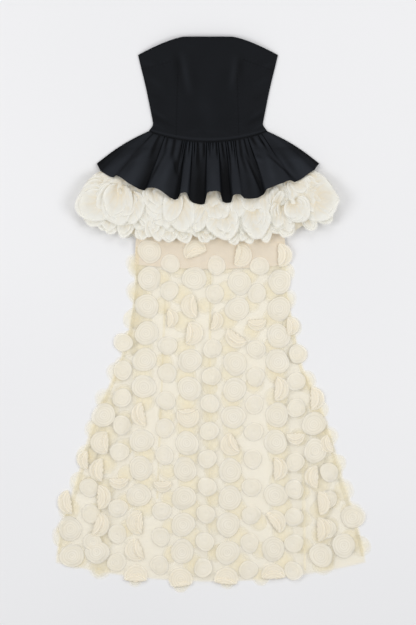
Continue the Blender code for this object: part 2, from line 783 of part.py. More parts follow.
def build():
    clear_scene()
    material = {name: make_material(name) for name in MATERIALS}
    discs = skirt_discs()
    slip_floor = SKIRT_WALL + GAP
    bodice_front(material["black_cloth"])
    bodice_back("bodice_back_left", -1, material["black_cloth"])
    bodice_back("bodice_back_right", 1, material["black_cloth"])
    back_zip(material["zip_tape"])
    zip_slider(material["zip_metal"])
    peplum_front(material["black_cloth"])
    peplum_back(material["black_cloth"])
    ruffle_front(material["cream_organza"])
    ruffle_back(material["cream_organza"])
    skirt_front(material["cream_organza"], discs)
    skirt_back(material["cream_organza"], discs)
    slip("slip_back", slip_floor, material["nude_lining"])
    slip("slip_front", slip_floor + SLIP_WALL + GAP, material["nude_lining"])
    centre_on_floor()


build()
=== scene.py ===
# %% [markdown]
# # A strapless gown, laid flat
#
# The gown has a fitted black bodice, a gathered black peplum, a ruffle tier of cream organza, a short
# slip and a long sheer skirt covered with round discs of stacked organza. This lesson dresses a plain
# solid model of it. Each step says what a piece is on the real gown, how it could be made, and why it
# is made this way here.

# %% Load the frame
import math

import bpy
import numpy as np
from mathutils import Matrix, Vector


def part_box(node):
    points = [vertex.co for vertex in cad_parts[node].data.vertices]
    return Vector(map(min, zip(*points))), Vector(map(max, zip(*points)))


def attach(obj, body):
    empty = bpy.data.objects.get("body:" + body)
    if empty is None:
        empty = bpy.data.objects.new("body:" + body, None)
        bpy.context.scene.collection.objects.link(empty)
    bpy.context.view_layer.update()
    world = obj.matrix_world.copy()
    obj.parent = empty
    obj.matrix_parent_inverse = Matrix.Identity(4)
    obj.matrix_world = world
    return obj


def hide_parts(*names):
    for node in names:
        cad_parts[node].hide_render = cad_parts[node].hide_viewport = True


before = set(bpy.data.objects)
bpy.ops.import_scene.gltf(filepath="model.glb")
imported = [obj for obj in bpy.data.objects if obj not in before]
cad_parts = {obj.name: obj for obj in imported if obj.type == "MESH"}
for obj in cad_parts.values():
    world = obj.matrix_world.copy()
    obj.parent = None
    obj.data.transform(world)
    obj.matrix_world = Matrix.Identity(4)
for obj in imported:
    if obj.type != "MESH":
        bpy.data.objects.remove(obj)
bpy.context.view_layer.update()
print("solids in the frame:", len(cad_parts))

# %% [markdown]
# ## Measuring in the gown's own way
#
# A dressmaker measures across from the centre line and down from the top edge. The lesson does the
# same, in millimetres: `x` runs across, `drop` runs down the gown and `z` is the height above the
# surface. One function turns these into metres in the frame. The centre line is under the zip's
# slider, and the top edge is the highest point of the bodice, so both are read from the frame.

# %% From the gown's millimetres to the frame's metres
MM = 0.001
slider_low, slider_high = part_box("zip_slider")
CENTRE_LINE = (slider_low[0] + slider_high[0]) / 2
TOP_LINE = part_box("bodice_front")[1][1]


def place(points):
    """Metres in the frame from rows (x, drop, z): x is moved to the centre line and drop runs down."""
    x, drop, z = np.moveaxis(np.asarray(points, float), -1, 0)
    return np.stack((CENTRE_LINE + x * MM, TOP_LINE - drop * MM, z * MM), axis=-1)


print(f"centre line at {CENTRE_LINE * 1000:.1f} mm, top edge at {TOP_LINE * 1000:.1f} mm")

# %% [markdown]
# ## Sizes that more than one piece needs
#
# The waist seam joins the bodice to everything below it, and the levels say how high each layer of the
# stack lies: the skirt is under the ruffle, and the ruffle is under the peplum. They are a table with
# named columns, read in straight lines between its rows.

# %% Shared sizes
GAP = 0.3
TOP_HALF, TOP_FLAT, TOP_FALL, TOP_BEND = 182, 62, 47, 1.35
WAIST_HALF, WAIST_DROP, WAIST_RISE = 155, 273, 28
BACK_TOP_DROP = 24
BACK_WALL = 2.0

LEVELS = np.array([  # drop, skirt_back, skirt_front, ruffle_back, ruffle_front, peplum
    (240, 1.8, 6.1, 1.8, 13.1, 7.8),
    (290, 1.8, 6.1, 1.8, 13.1, 9.0),
    (320, 7.1, 11.4, 1.8, 13.1, 19.0),
    (360, 7.1, 11.4, 1.8, 13.1, 27.0),
    (400, 7.1, 11.4, 1.8, 13.1, 34.0),
    (440, 7.1, 11.4, 1.8, 13.1, 37.0),
    (460, 5.3, 9.6, 0.0, 13.1, 37.0),
    (500, 5.3, 9.6, 0.0, 13.1, 37.0),
    (525, 5.3, 9.6, 0.0, 19.5, 37.0),
    (545, 5.3, 9.6, 0.0, 21.0, 37.0),
    (585, 0.0, 4.3, 0.0, 21.0, 37.0),
    (605, 0.0, 4.3, 0.0, 21.0, 37.0),
    (630, 0.0, 1.7, 0.0, 21.0, 37.0),
    (1500, 0.0, 1.7, 0.0, 21.0, 37.0),
])
LEVEL_COLUMNS = ("skirt_back", "skirt_front", "ruffle_back", "ruffle_front", "peplum")


def level(name, drop):
    """Height of a layer's underside, read in straight lines between the rows of the table."""
    return np.interp(drop, LEVELS[:, 0], LEVELS[:, 1 + LEVEL_COLUMNS.index(name)])


def waist_seam(x):
    """A parabola that rises from the centre line to the side seams."""
    return WAIST_DROP - WAIST_RISE * (x / WAIST_HALF) ** 2


def smooth_step(value, low, high):
    """Zero below low, one above high, and an S-shaped curve between them."""
    f = np.clip((value - low) / (high - low), 0, 1)
    return f * f * (3 - 2 * f)


def bell(distance, width):
    """One where the distance is zero, and a bell curve that falls away on both sides."""
    return np.exp(-((distance / width) ** 2))


def together(*values):
    """The values as columns: each stretched to the shape of all, then stacked along a new last axis."""
    return np.stack(np.broadcast_arrays(*values), axis=-1)


def shares(rows, columns, first=0):
    """Shares from 0 to 1 down the rows of a grid, and from first to 1 across its columns."""
    return np.linspace(0, 1, rows)[:, None], np.linspace(first, 1, columns)[None, :]


def spline(values, t):
    """Catmull-Rom curve through the values, read at positions along their index."""
    values = np.asarray(values, float)
    ends = np.concatenate((2 * values[:1] - values[1:2], values, 2 * values[-1:] - values[-2:-1]))
    k = np.clip(np.floor(t).astype(int), 0, len(values) - 2)
    f = t - k
    a, b, c, d = (ends[k + n] for n in range(4))
    return b + 0.5 * f * (c - a + f * (2 * a - 5 * b + 4 * c - d + f * (3 * (b - c) + d - a)))


print(f"waist seam: {waist_seam(0):.0f} mm down in the middle, {waist_seam(WAIST_HALF):.0f} at the sides")

# %% [markdown]
# ## Cloth as a thin closed shell
#
# Cloth could be a single sheet with a Solidify modifier. Here its face and its inner side are two
# grids of points, worked out together, with a strip round the border that closes them. That gives a
# real edge, keeps the wall as thick as the cloth, and lets the inner side be plainer than the face.
# The UV map measures the cloth itself in metres, so a weave keeps its scale where the cloth folds.

# %% Helpers that make shells
PIECES = {}


def shell_faces(rows, columns):
    """Squares of a grid that faces up, of the grid below it, and of the strip that joins their rims."""
    index = np.arange(rows * columns).reshape(rows, columns)
    corner = index[:-1, :-1].ravel()
    upper = together(corner, corner + columns, corner + columns + 1, corner + 1)
    rim = np.concatenate((index[0, :-1], index[:-1, -1], index[-1, :0:-1], index[:0:-1, 0]))
    after = np.roll(rim, -1)
    border = together(rim, after, after + index.size, rim + index.size)
    return np.concatenate((upper, (upper + index.size)[:, ::-1], border))


def cloth_map(points):
    """Distances along the cloth: across it in the first column, down it in the second, in metres."""
    across = np.linalg.norm(np.diff(points, axis=1), axis=2)
    down = np.linalg.norm(np.diff(points, axis=0), axis=2)
    u = np.concatenate((np.zeros((len(points), 1)), np.cumsum(across, axis=1)), axis=1)
    v = np.concatenate((np.zeros((1, points.shape[1])), np.cumsum(down, axis=0)), axis=0)
    middle = u[:, u.shape[1] // 2][:, None]
    return together(u - middle, v) * MM


def add_piece(name, points, face_sets, uv, material, sharp=60):
    """A mesh piece at the origin, from rows (x, drop, z), arrays of faces and each point's UV."""
    mesh = bpy.data.meshes.new(name)
    mesh.from_pydata(place(points), [], [face for faces in face_sets for face in faces.tolist()])
    corners = np.concatenate([faces.ravel() for faces in face_sets])
    layer = mesh.uv_layers.new(name="cloth")
    layer.data.foreach_set("uv", uv[corners].astype(np.float32).ravel())
    mesh.materials.append(material)
    mesh.shade_smooth()
    mesh.set_sharp_from_angle(angle=math.radians(sharp))
    piece = bpy.data.objects.new(name, mesh)
    bpy.context.collection.objects.link(piece)
    PIECES[name] = piece
    print(f"{name}: {sum(len(p.vertices) - 2 for p in mesh.polygons)} triangles")
    return piece


def add_shells(name, face_sides, inner_sides, material, uv):
    """Many closed shells as one piece, from two arrays of grids: sides that show, and sides below."""
    count, rows, columns = face_sides.shape[:3]
    starts = 2 * rows * columns * np.arange(count)[:, None, None]
    faces = (starts + shell_faces(rows, columns)).reshape(-1, 4)
    points = np.stack((face_sides, inner_sides), axis=1).reshape(-1, 3)
    return add_piece(name, points, [faces], np.tile(uv.reshape(-1, 2), (2 * count, 1)), material)


def add_shell(name, face_side, inner_side, material, shade=None):
    """One closed shell from two grids of the same shape: the side that shows, and the side below it.

    shade, a painted shade from 0 in a hollow to 1 on a ridge, is kept as an attribute of the points.
    """
    piece = add_shells(name, face_side[None], inner_side[None], material, cloth_map(face_side))
    if shade is not None:
        layer = piece.data.attributes.new("shade", "FLOAT", "POINT")
        layer.data.foreach_set("value", np.tile(shade.astype(np.float32).ravel(), 2))
    return piece


# %% [markdown]
# ## Soft creases
#
# A crease is a trough or a ridge along a short line. Its height falls away on both sides like a bell
# curve, and towards its ends. A table lists each piece's creases, uneven in length and depth, as they
# lie on the real cloth. A seam is a narrower groove with small puckers beside it.

# %% Functions that add creases and seams to a surface
PUCKER_OFF, PUCKER_WIDTH = 3.5, 3.0


def beside(x, drop, line):
    """How far along a line each place lies, in millimetres, its share of it, and how far beside it."""
    x0, drop0, x1, drop1 = line
    length = math.hypot(x1 - x0, drop1 - drop0)
    along = ((x - x0) * (x1 - x0) + (drop - drop0) * (drop1 - drop0)) / length
    t = np.clip(along / length, 0, 1)
    return along, t, np.hypot(x - x0 - t * (x1 - x0), drop - drop0 - t * (drop1 - drop0))


def creases(x, drop, table):
    """Sum of bell curves round short lines: rows of x, drop, x_last, drop_last, width, height."""
    total = np.zeros(np.broadcast(x, drop).shape)
    for *line, width, height in table:
        _, t, distance = beside(x, drop, line)
        total += height * bell(distance, width) * np.sin(math.pi * (0.12 + 0.76 * t))
    return total


def seam(x, drop, table, width=1.1, depth=0.9, pucker=0.25, pitch=9.0):
    """A stitched line: a narrow groove with small puckers beside it, along each line of the table."""
    total = np.zeros(np.broadcast(x, drop).shape)
    for line in table:
        along, _, distance = beside(x, drop, line)
        wave = np.sin(2 * math.pi * along / pitch + 1.3 * np.sin(along / 21))
        total += pucker * wave * bell(distance - PUCKER_OFF, PUCKER_WIDTH) - depth * bell(distance, width)
    return total


# %% [markdown]
# ## Writing a material as a formula
#
# A shader is a net of nodes, and a formula is easier to read than a net. This small class wraps a
# node's output. Adding, subtracting or multiplying two of them makes the Math node that does it.

# %% The class that wraps a socket


class Wire:
    """An output socket of a node, or a bare start for new nodes, with arithmetic on its numbers."""

    def __init__(self, tree, socket=None):
        self.tree = tree
        self.socket = socket

    def node(self, kind, settings=None, values=None, output=0):
        """A new node with its settings made first, then the values or wires of its sockets."""
        node = self.tree.nodes.new(kind)
        for key, value in (settings or {}).items():
            if key == "stops":
                marks = node.color_ramp.elements
                marks[0].position, marks[-1].position = value[0][0], value[-1][0]
                marks[0].color, marks[-1].color = (*value[0][1], 1.0), (*value[-1][1], 1.0)
                for position, colour in value[1:-1]:
                    marks.new(position).color = (*colour, 1.0)
            else:
                setattr(node, key, value)
        for key, value in (values or {}).items():
            if isinstance(value, Wire):
                self.tree.links.new(value.socket, node.inputs[key])
            else:
                node.inputs[key].default_value = value
        return Wire(self.tree, node.outputs[output])

    def math(self, operation, first, second=0.0):
        return self.node("ShaderNodeMath", {"operation": operation}, {0: first, 1: second})

    def __add__(self, other):
        return self.math("ADD", self, other)

    def __sub__(self, other):
        return self.math("SUBTRACT", self, other)

    def __rsub__(self, other):
        return self.math("SUBTRACT", other, self)

    def __mul__(self, other):
        return self.math("MULTIPLY", self, other)

    __radd__ = __add__
    __rmul__ = __mul__

    def sine(self):
        return self.math("SINE", self)

    def clamped(self, low, high):
        """Zero below low, one above high, and a straight line between them."""
        return self.node("ShaderNodeMapRange", {"clamp": True}, {
            "Value": self, "From Min": low, "From Max": high, "To Min": 0.0, "To Max": 1.0})

    def mix(self, first, second):
        """The first colour where this is zero and the second where it is one."""
        return self.node("ShaderNodeMix", {"data_type": "RGBA"}, {
            0: self, 6: first, 7: second}, output=2)

    def here(self):
        """The place in the piece's own space, which is the frame's, in metres."""
        return self.node("ShaderNodeTexCoord", output=3)

    def cloth(self):
        """The piece's own UV map."""
        return self.node("ShaderNodeUVMap", {"uv_map": "cloth"})

    def split(self):
        """The first and the second number of this place."""
        first = self.node("ShaderNodeSeparateXYZ", None, {0: self})
        return first, Wire(self.tree, first.socket.node.outputs[1])

    def noise(self, scale, detail):
        """Soft random blots over this place, from 0 to 1."""
        return self.node("ShaderNodeTexNoise", None, {"Vector": self, "Scale": scale, "Detail": detail})

    def bump(self, strength, distance):
        """The normal of a surface that this height raises."""
        return self.node("ShaderNodeBump", None, {
            "Strength": strength, "Distance": distance, "Height": self})


def rgb(red, green, blue):
    """A colour with full alpha."""
    return (red, green, blue, 1.0)


def new_finish(name, roughness, constants):
    """A material with a Principled shader whose constants are set; gives its start and its shader."""
    material = bpy.data.materials.new(name)
    material.use_nodes = True
    tree = material.node_tree
    shader = tree.nodes["Principled BSDF"]
    shader.inputs["Roughness"].default_value = roughness
    for key, value in constants.items():
        shader.inputs[key].default_value = value
    return material, Wire(tree), shader


def connect(shader, **wires):
    """Links wires to the shader's sockets, with spaces written as underscores."""
    for key, wire in wires.items():
        wire.tree.links.new(wire.socket, shader.inputs[key.replace("_", " ")])


# %% [markdown]
# ## Black twill
#
# The bodice and the peplum are a firm twill with a dull bloom: ridges catch the light and hollows go
# nearly black. A flat black would lose that. So each point carries a painted shade, from hollow to
# ridge, that mixes two very dark blue-greys with a faint slub: painted shade in the hollows and a
# painted highlight on the ridges. The twill's diagonal rib is a bump on the cloth's own UV map, 0.9 mm
# apart.

# %% Black twill
TWILL_RIB = 0.0009
# The shade attribute is painted shade: these are its levels on the peplum and on flat cloth.
RIDGE_SHADE = 0.40        # shade of the peplum between its hollows and its ridges
FLAT_SHADE = 0.24         # shade of cloth that lies flat


def black_twill():
    """Painted shade: dark blue-grey from hollow to ridge by the shade attribute, with diagonal ribs as a
    bump.
    """
    material, start, shader = new_finish("black twill", 0.62, {"Specular IOR Level": 0.06})
    across, down = start.cloth().split()
    rib = ((across + down) * (2 * math.pi / TWILL_RIB)).sine()
    slub = start.cloth().noise(900.0, 3.0)
    cloud = start.cloth().noise(14.0, 2.0)
    shade = start.node("ShaderNodeAttribute", {"attribute_name": "shade"}, output=2)
    painted_shade_and_slub = shade + (slub - 0.5) * 0.22 + (cloud - 0.5) * 0.14
    colour = painted_shade_and_slub.clamped(0.0, 1.0).mix(rgb(0.0036, 0.0040, 0.0048), rgb(0.0205, 0.0232, 0.0285))
    bump = (rib * 0.5 + slub).bump(0.35, 0.0002)
    connect(shader, Base_Color=colour, Normal=bump, Roughness=slub * 0.14 + 0.5)
    return material


def blurred(values, reach):
    """Mean over reach neighbours on both sides along each row of a grid, from its running sum."""
    padded = np.pad(values, ((0, 0), (reach + 1, reach)), mode="edge")
    total = np.cumsum(padded, axis=1)
    return (total[:, 2 * reach + 1:] - total[:, :-2 * reach - 1]) / (2 * reach + 1)


BLACK = black_twill()

# %% [markdown]
# ## The bodice front
#
# It is one piece of boned cloth with a dart from each side seam to the bust and one up from the waist
# on each half. The solid under it gives its arch. The finer shell could be draped by a simulation,
# but boning keeps such a front stiff, so its form is a formula: an arch from side to side whose height
# follows a short table, with the darts as stitched grooves and the few soft pulls that the boning and
# the bust leave in it.

# %% Bodice front
BODICE_WALL = 2.2
BODICE_LENGTH = WAIST_DROP - TOP_FALL
EDGE_ROUND = 1.6          # how far from an edge the cloth rolls over
STITCH_LINE = 5.5         # how far from an edge its stitching runs
BODICE = np.array([  # drop, half width, crown height, roundness of the arch
    (0, 182, 18, 2.6),
    (47, 182, 24, 2.5),
    (85, 174, 30, 2.4),
    (140, 161, 24, 2.8),
    (200, 148, 16, 3.5),
    (226, 142, 11, 5.0),
    (246, 155, 7.8, 8.0),
    (273, 155, 7.8, 8.0),
])
BODICE_DARTS = (
    (-78, 94, -83, 257), (75, 98, 80, 257),
    (-176, 86, -95, 65), (176, 91, 91, 60),
)
BODICE_PULLS = (
    (-68, 50, -48, 146, 9, 1.6), (72, 58, 60, 132, 9, 1.5),
    (-82, 48, -74, 92, 12, -0.9), (84, 52, 78, 96, 12, -0.9),
    (-150, 205, -92, 232, 7, -1.2), (-146, 190, -108, 214, 6, 0.9), (-150, 222, -112, 240, 4, 1.0),
    (148, 204, 96, 230, 7, -1.2), (146, 188, 112, 210, 6, 0.9), (150, 222, 116, 241, 4, 1.0),
    (-164, 104, -120, 128, 10, 0.8), (162, 108, 124, 124, 9, 0.7), (-158, 150, -118, 160, 8, -0.7),
    (156, 146, 112, 166, 9, -0.7), (-20, 150, 8, 232, 22, 0.8), (-8, 246, 60, 252, 5, 0.5),
    (-60, 250, -20, 245, 5, 0.5), (-172, 66, -138, 74, 7, 0.7), (172, 70, 140, 78, 7, 0.7),
)


def top_edge(x):
    """Level in the middle, then a fall to the corners by a power of the distance."""
    return TOP_FALL * np.clip((np.abs(x) - TOP_FLAT) / (TOP_HALF - TOP_FLAT), 0, 1) ** TOP_BEND


def table_curve(table, column, at, blur=9.0):
    """A table's column with its corners rounded: the mean of straight readings close by."""
    offsets = np.linspace(-1, 1, 9)
    readings = [np.interp(at + blur * k, table[:, 0], table[:, column]) for k in offsets]
    return np.mean(readings, axis=0)


def bodice_surface(rows, columns):
    """x and drop over the front: across in shares of the half width, down from top to waist seam."""
    v, u = shares(rows, columns, first=-1)
    side = 0.5 * np.sin(u * math.pi / 2) + 0.5 * u
    side_drop = TOP_FALL + v * (waist_seam(WAIST_HALF) - TOP_FALL)
    x = side * table_curve(BODICE, 1, side_drop, 5.0)
    drop = top_edge(x) + v * (waist_seam(x) - GAP / 2 - top_edge(x))
    return x, drop, v, side


def bodice_front():
    """An arch across the body on a floor of 2.3 mm, with darts, pulls, a rolled top and side seams."""
    x, drop, v, side = bodice_surface(130, 170)
    floor = BACK_WALL + GAP
    crown = table_curve(BODICE, 2, drop)
    arch = 1 - np.abs(side) ** table_curve(BODICE, 3, drop)
    inner = floor + (crown - floor) * arch
    relief = seam(x, drop, BODICE_DARTS) + creases(x, drop, BODICE_PULLS)
    to_side = (1 - np.abs(side)) * TOP_HALF
    to_top, to_waist = v * BODICE_LENGTH, (1 - v) * BODICE_LENGTH
    relief += 0.35 * np.sin(drop * 2 * math.pi / 8.5 + np.sin(drop / 17)) * np.exp(-to_side / 7)
    relief -= 0.8 * bell(to_top - STITCH_LINE, 1.3)
    relief += 0.9 * bell(to_waist - STITCH_LINE, 2.4)
    relief *= smooth_step(to_side, 0, 4)
    from_edge = np.minimum(to_top, to_side)
    wall = BODICE_WALL * np.sqrt(np.clip(1 - (1 - from_edge / EDGE_ROUND) ** 2, 0.02, 1))
    wall = np.where(from_edge > EDGE_ROUND, BODICE_WALL, wall)
    # Painted highlight on the rolled top and side edges, painted shade along the waist seam, and a painted
    # highlight on the raised band by its stitching.
    edge = 0.30 * bell(from_edge, 1.3) - 0.24 * bell(to_waist, 2.2)
    edge = edge + 0.22 * bell(to_waist - STITCH_LINE, 2.2)
    # Painted shade in the relief's hollows and a painted highlight on its rises.
    shade = FLAT_SHADE + 0.12 * (relief - blurred(relief, 12)) + 0.07 * relief + edge
    return add_shell("bodice_front_cloth", together(x, drop, inner + wall + relief),
                     together(x, drop, inner), BLACK, np.clip(shade, 0, 1))


bodice_front()

# %% [markdown]
# ## The bodice back and the waist
#
# The photo hides the back, so it is finished plainly: two panels that meet at a concealed zip. It lies
# on the surface, so its outside is flat but for a few shallow pulls that lift off the surface, the
# grooves of the seam allowances and the turned edges.

# %% Bodice back
BACK_PULLS = (
    (-150, 196, -60, 226, 9, 0.7), (150, 200, 70, 232, 9, 0.7), (-140, 90, -50, 120, 14, 0.6),
    (138, 100, 44, 118, 12, 0.6), (-120, 150, -30, 172, 11, 0.5), (118, 160, 36, 184, 10, 0.5),
)
BACK_SEAMS = ((-88, 60, -80, 262), (88, 60, 80, 262))
BACK_HALF = 170           # half width that turns a share across a half into a distance
BACK_LIFT = 1.2           # the most that the cloth lifts off the surface


def back_top_edge(x):
    """A parabola that falls from the zip to the corners."""
    return BACK_TOP_DROP + (TOP_FALL - BACK_TOP_DROP) * (np.abs(x) / TOP_HALF) ** 2


def bodice_back(name, side):
    """Half of the back from the zip to the side seam, with its outside on the surface."""
    v, u = shares(100, 70)
    half = table_curve(BODICE, 1, TOP_FALL + v * (waist_seam(WAIST_HALF) - TOP_FALL), 5.0) - 1
    across = GAP / 2 + u * (half - GAP / 2)
    x = side * (across if side > 0 else across[:, ::-1])
    drop = back_top_edge(x) + v * (waist_seam(x) - GAP / 2 - back_top_edge(x))
    to_side = (1 - np.abs(x) / np.max(np.abs(x), axis=1)[:, None]) * BACK_HALF
    to_edge = np.minimum(to_side, v * BODICE_LENGTH)
    lift = np.clip(creases(x, drop, BACK_PULLS) - seam(x, drop, BACK_SEAMS, 1.2, 0.5, 0.1), 0, None)
    lift *= smooth_step(to_edge, 2, 14) * smooth_step(np.abs(x), 6, 20) * smooth_step(1 - v, 0.02, 0.1)
    roll = 0.9 * (1 - smooth_step(to_edge, 0, EDGE_ROUND))
    outside = together(x, drop, np.minimum(lift * 0.5 + roll, BACK_LIFT))
    inside = together(x, drop, BACK_WALL - 0.25 * roll - 0.2 * np.clip(BACK_LIFT - lift, 0, 1))
    # Painted shade: the cloth is darker where it lifts off the surface.
    return add_shell(name, inside, outside, BLACK, np.clip(FLAT_SHADE - 0.1 * lift, 0, 1))


bodice_back("bodice_back_left_cloth", -1)
bodice_back("bodice_back_right_cloth", 1)

# %% [markdown]
# ## The concealed zip
#
# The zip sits in the back seam with its coil inside. A coil is one nylon thread wound into loops, which
# could be a curve with a round section. At 1.5 mm a loop that is a lot of faces for something this
# small, so each loop is a low ridge of five by three points over the solid's coil. The tapes and the
# painted slider keep their solids, which have the right shape, and get finishes of their own.

# %% The zip's coil and finishes
COIL_FIRST, COIL_LAST, COIL_PITCH = 66, 268, 1.5
COIL_HALF, COIL_FLOOR = 2.2, 4.0
COIL_RISE, COIL_SINK = 0.34, 0.3
ZIGZAG, ZIGZAG_DEPTH = 0.003, 0.0007      # half wave of the herringbone and its height, in metres


def tape_finish(name, pitch):
    """Black tape with a herringbone rib across it, from sines of the place in the frame."""
    material, start, shader = new_finish(name, 0.7, {"Specular IOR Level": 0.2})
    across, down = start.here().split()
    zigzag = (across * (math.pi / ZIGZAG)).sine() * ZIGZAG_DEPTH
    rib = ((down + zigzag) * (2 * math.pi / pitch)).sine()
    colour = rib.clamped(-1.0, 1.0).mix(rgb(0.008, 0.008, 0.010), rgb(0.020, 0.020, 0.024))
    connect(shader, Base_Color=colour, Normal=rib.bump(0.5, 0.0002))
    return material


def painted_metal():
    """Dark paint with fine orange peel, worn thin in small spots."""
    material, start, shader = new_finish("painted metal", 0.35, {"Metallic": 0.6})
    peel = start.here().noise(1800.0, 2.0)
    spots = start.here().noise(260.0, 3.0).clamped(0.62, 0.70)
    connect(shader, Base_Color=spots.mix(rgb(0.045, 0.045, 0.05), rgb(0.30, 0.29, 0.28)),
            Roughness=spots * 0.15 + 0.32, Normal=peel.bump(0.25, 0.0001))
    return material


def zip_coil():
    """Ridges across the coil: grids of five by three points, raised in the middle over a flat foot."""
    drops = np.arange(COIL_FIRST, COIL_LAST, COIL_PITCH)[:, None, None]
    u = np.linspace(-1, 1, 5)[None, None, :]
    v = np.linspace(-1, 1, 3)[None, :, None]
    height = COIL_FLOOR + COIL_RISE * np.sqrt(1.02 - u ** 2) * (1 - v ** 2)
    top = together(COIL_HALF * u, drops + 0.6 * v, height)
    foot = top * (1, 1, 0) + (0, 0, COIL_FLOOR - COIL_SINK)
    return add_shells("zip_coil", top, foot, COIL_FINISH, together(u[0], v[0]))


COIL_FINISH = tape_finish("nylon coil", 0.0015)
zip_coil()
for node, finish in (("back_zip", tape_finish("zip tape", 0.0012)), ("zip_slider", painted_metal())):
    for slot in bpy.data.objects[node].material_slots:
        slot.material = finish

# %% [markdown]
# ## The peplum
#
# The peplum is a flared strip gathered into the waist seam. Its hem is the gown's strongest line: nine
# or so large folds stand up from it, and the hem dips where a fold sinks between them. Draping it by
# simulation would give other folds than these, so its hem is a table of 31 places with the height of
# the fold at each. The cloth runs up from there, the folds fade towards the seam, and small pleats
# with their own places and lengths take over.

# %% Peplum sizes
PEPLUM_WALL = 1.5
SIDE_POWER = 20           # how late the peplum drops to its closed sides
SIDE_BOW = 5.5            # how far its sides bow out
PEPLUM_HEM = np.array([  # x, drop, rise of the fold there
    (-289, 329, 0), (-279, 349, 3), (-247, 366, 5), (-236, 362, 11), (-202, 384, 14),
    (-166, 400, 4), (-157, 394, 14), (-130, 397, 18), (-91, 422, 8), (-78, 421, 3),
    (-71, 408, 14), (-55, 407, 16), (-48, 424, 5), (-36, 433, 2), (-9, 435, 2),
    (-2, 408, 16), (10, 403, 20), (31, 405, 18), (38, 429, 4), (59, 431, 2),
    (66, 413, 14), (84, 411, 17), (94, 421, 12), (127, 420, 10), (145, 410, 6),
    (152, 397, 16), (198, 380, 18), (213, 374, 14), (228, 377, 5), (277, 346, 7), (289, 329, 0),
])
PLEATS = np.array([  # place along the hem table, how far down it runs (0 to 1), depth, width
    (3.2, 0.5, 1.4, 0.14), (4.6, 0.62, 2.0, 0.16), (5.5, 0.9, 2.4, 0.12), (6.3, 0.38, 1.8, 0.16),
    (7.1, 0.5, 2.2, 0.13), (7.9, 0.75, 2.6, 0.16), (8.5, 0.42, 2.2, 0.12), (9.3, 0.95, 2.6, 0.16),
    (10.1, 0.3, 2.4, 0.13), (10.8, 0.34, 2.6, 0.14), (11.6, 0.9, 2.8, 0.17), (12.3, 0.3, 2.6, 0.12),
    (12.9, 0.5, 2.8, 0.15), (13.6, 0.33, 2.4, 0.12), (14.4, 0.95, 3.0, 0.18), (15.2, 0.26, 2.4, 0.12),
    (15.8, 0.36, 2.6, 0.14), (16.5, 0.22, 2.0, 0.12), (17.1, 0.42, 2.4, 0.13), (17.8, 0.95, 3.0, 0.18),
    (18.5, 0.35, 2.6, 0.12), (19.1, 0.6, 2.6, 0.15), (19.8, 0.9, 2.6, 0.16), (20.5, 0.34, 2.4, 0.13),
    (21.2, 0.55, 2.6, 0.15), (22.0, 0.85, 2.6, 0.15), (22.7, 0.4, 2.2, 0.13), (23.4, 0.5, 2.2, 0.14),
    (24.4, 0.95, 2.6, 0.16), (25.2, 0.3, 2.0, 0.14), (25.9, 0.5, 1.8, 0.14), (27.4, 0.75, 2.0, 0.15),
])
PEPLUM_CREASES = (
    (-214, 356, -180, 300, 9, -1.6), (-262, 340, -200, 290, 7, -1.2), (-120, 390, -100, 330, 10, 1.6),
    (170, 380, 150, 300, 11, 1.5), (236, 366, 190, 300, 7, -1.4), (110, 408, 100, 350, 9, -1.2),
    (-150, 350, -120, 318, 6, 1.0), (118, 316, 142, 326, 5, 1.2), (120, 304, 136, 312, 4, -1.0),
    (-28, 425, -22, 320, 12, -2.6), (50, 424, 45, 312, 10, -2.4), (14, 390, 12, 340, 10, 1.4),
    (144, 412, 96, 306, 3.5, -3.2), (228, 374, 154, 306, 3.5, -2.8), (131, 262, 148, 284, 3.5, -2.6),
    (-163, 398, -108, 294, 3.5, -2.4), (-92, 304, -76, 366, 6, -2.4), (-60, 290, -62, 330, 3, -2.0),
    (84, 300, 100, 352, 4, -2.2), (190, 330, 216, 372, 4, -1.6), (-196, 312, -232, 356, 4, -1.8),
    (-200, 330, -160, 300, 6, 0.9), (206, 344, 176, 304, 8, 1.1),
)


def peplum_surface(rows, per_span):
    """x and drop: straight down from the waist seam to the curved hem, and bowed at the sides."""
    last = len(PEPLUM_HEM) - 1
    t = np.linspace(0, last, last * per_span + 1)
    hem_x = np.interp(t, np.arange(last + 1), PEPLUM_HEM[:, 0])
    hem_drop = spline(PEPLUM_HEM[:, 1], t)
    side = hem_x / PEPLUM_HEM[-1, 0]
    waist_x = WAIST_HALF * (0.75 * np.sin(side * math.pi / 2) + 0.25 * side)
    waist_drop = waist_seam(waist_x) + GAP / 2
    v = np.linspace(0, 1, rows)[:, None]
    bow = SIDE_BOW * np.sin(math.pi * v) * side ** 4
    x = waist_x + v * (hem_x - waist_x) + np.sign(side) * bow * 0.4
    drop = waist_drop + v * (hem_drop - waist_drop) - bow
    return x, drop, v, side, t


def pleat_relief(t, v):
    """Narrow troughs that start at the seam, each fading out at its own length down the cloth."""
    total = np.zeros(np.broadcast(t, v).shape)
    for place_on_hem, reach, depth, width in PLEATS:
        wander = place_on_hem + 0.25 * np.sin(3 * v + place_on_hem)
        fade = smooth_step(v, 0, 0.03) * (1 - smooth_step(v, 0.3 * reach, reach))
        total -= depth * bell(t - wander, width * (1 + 1.2 * v)) * fade
    return total


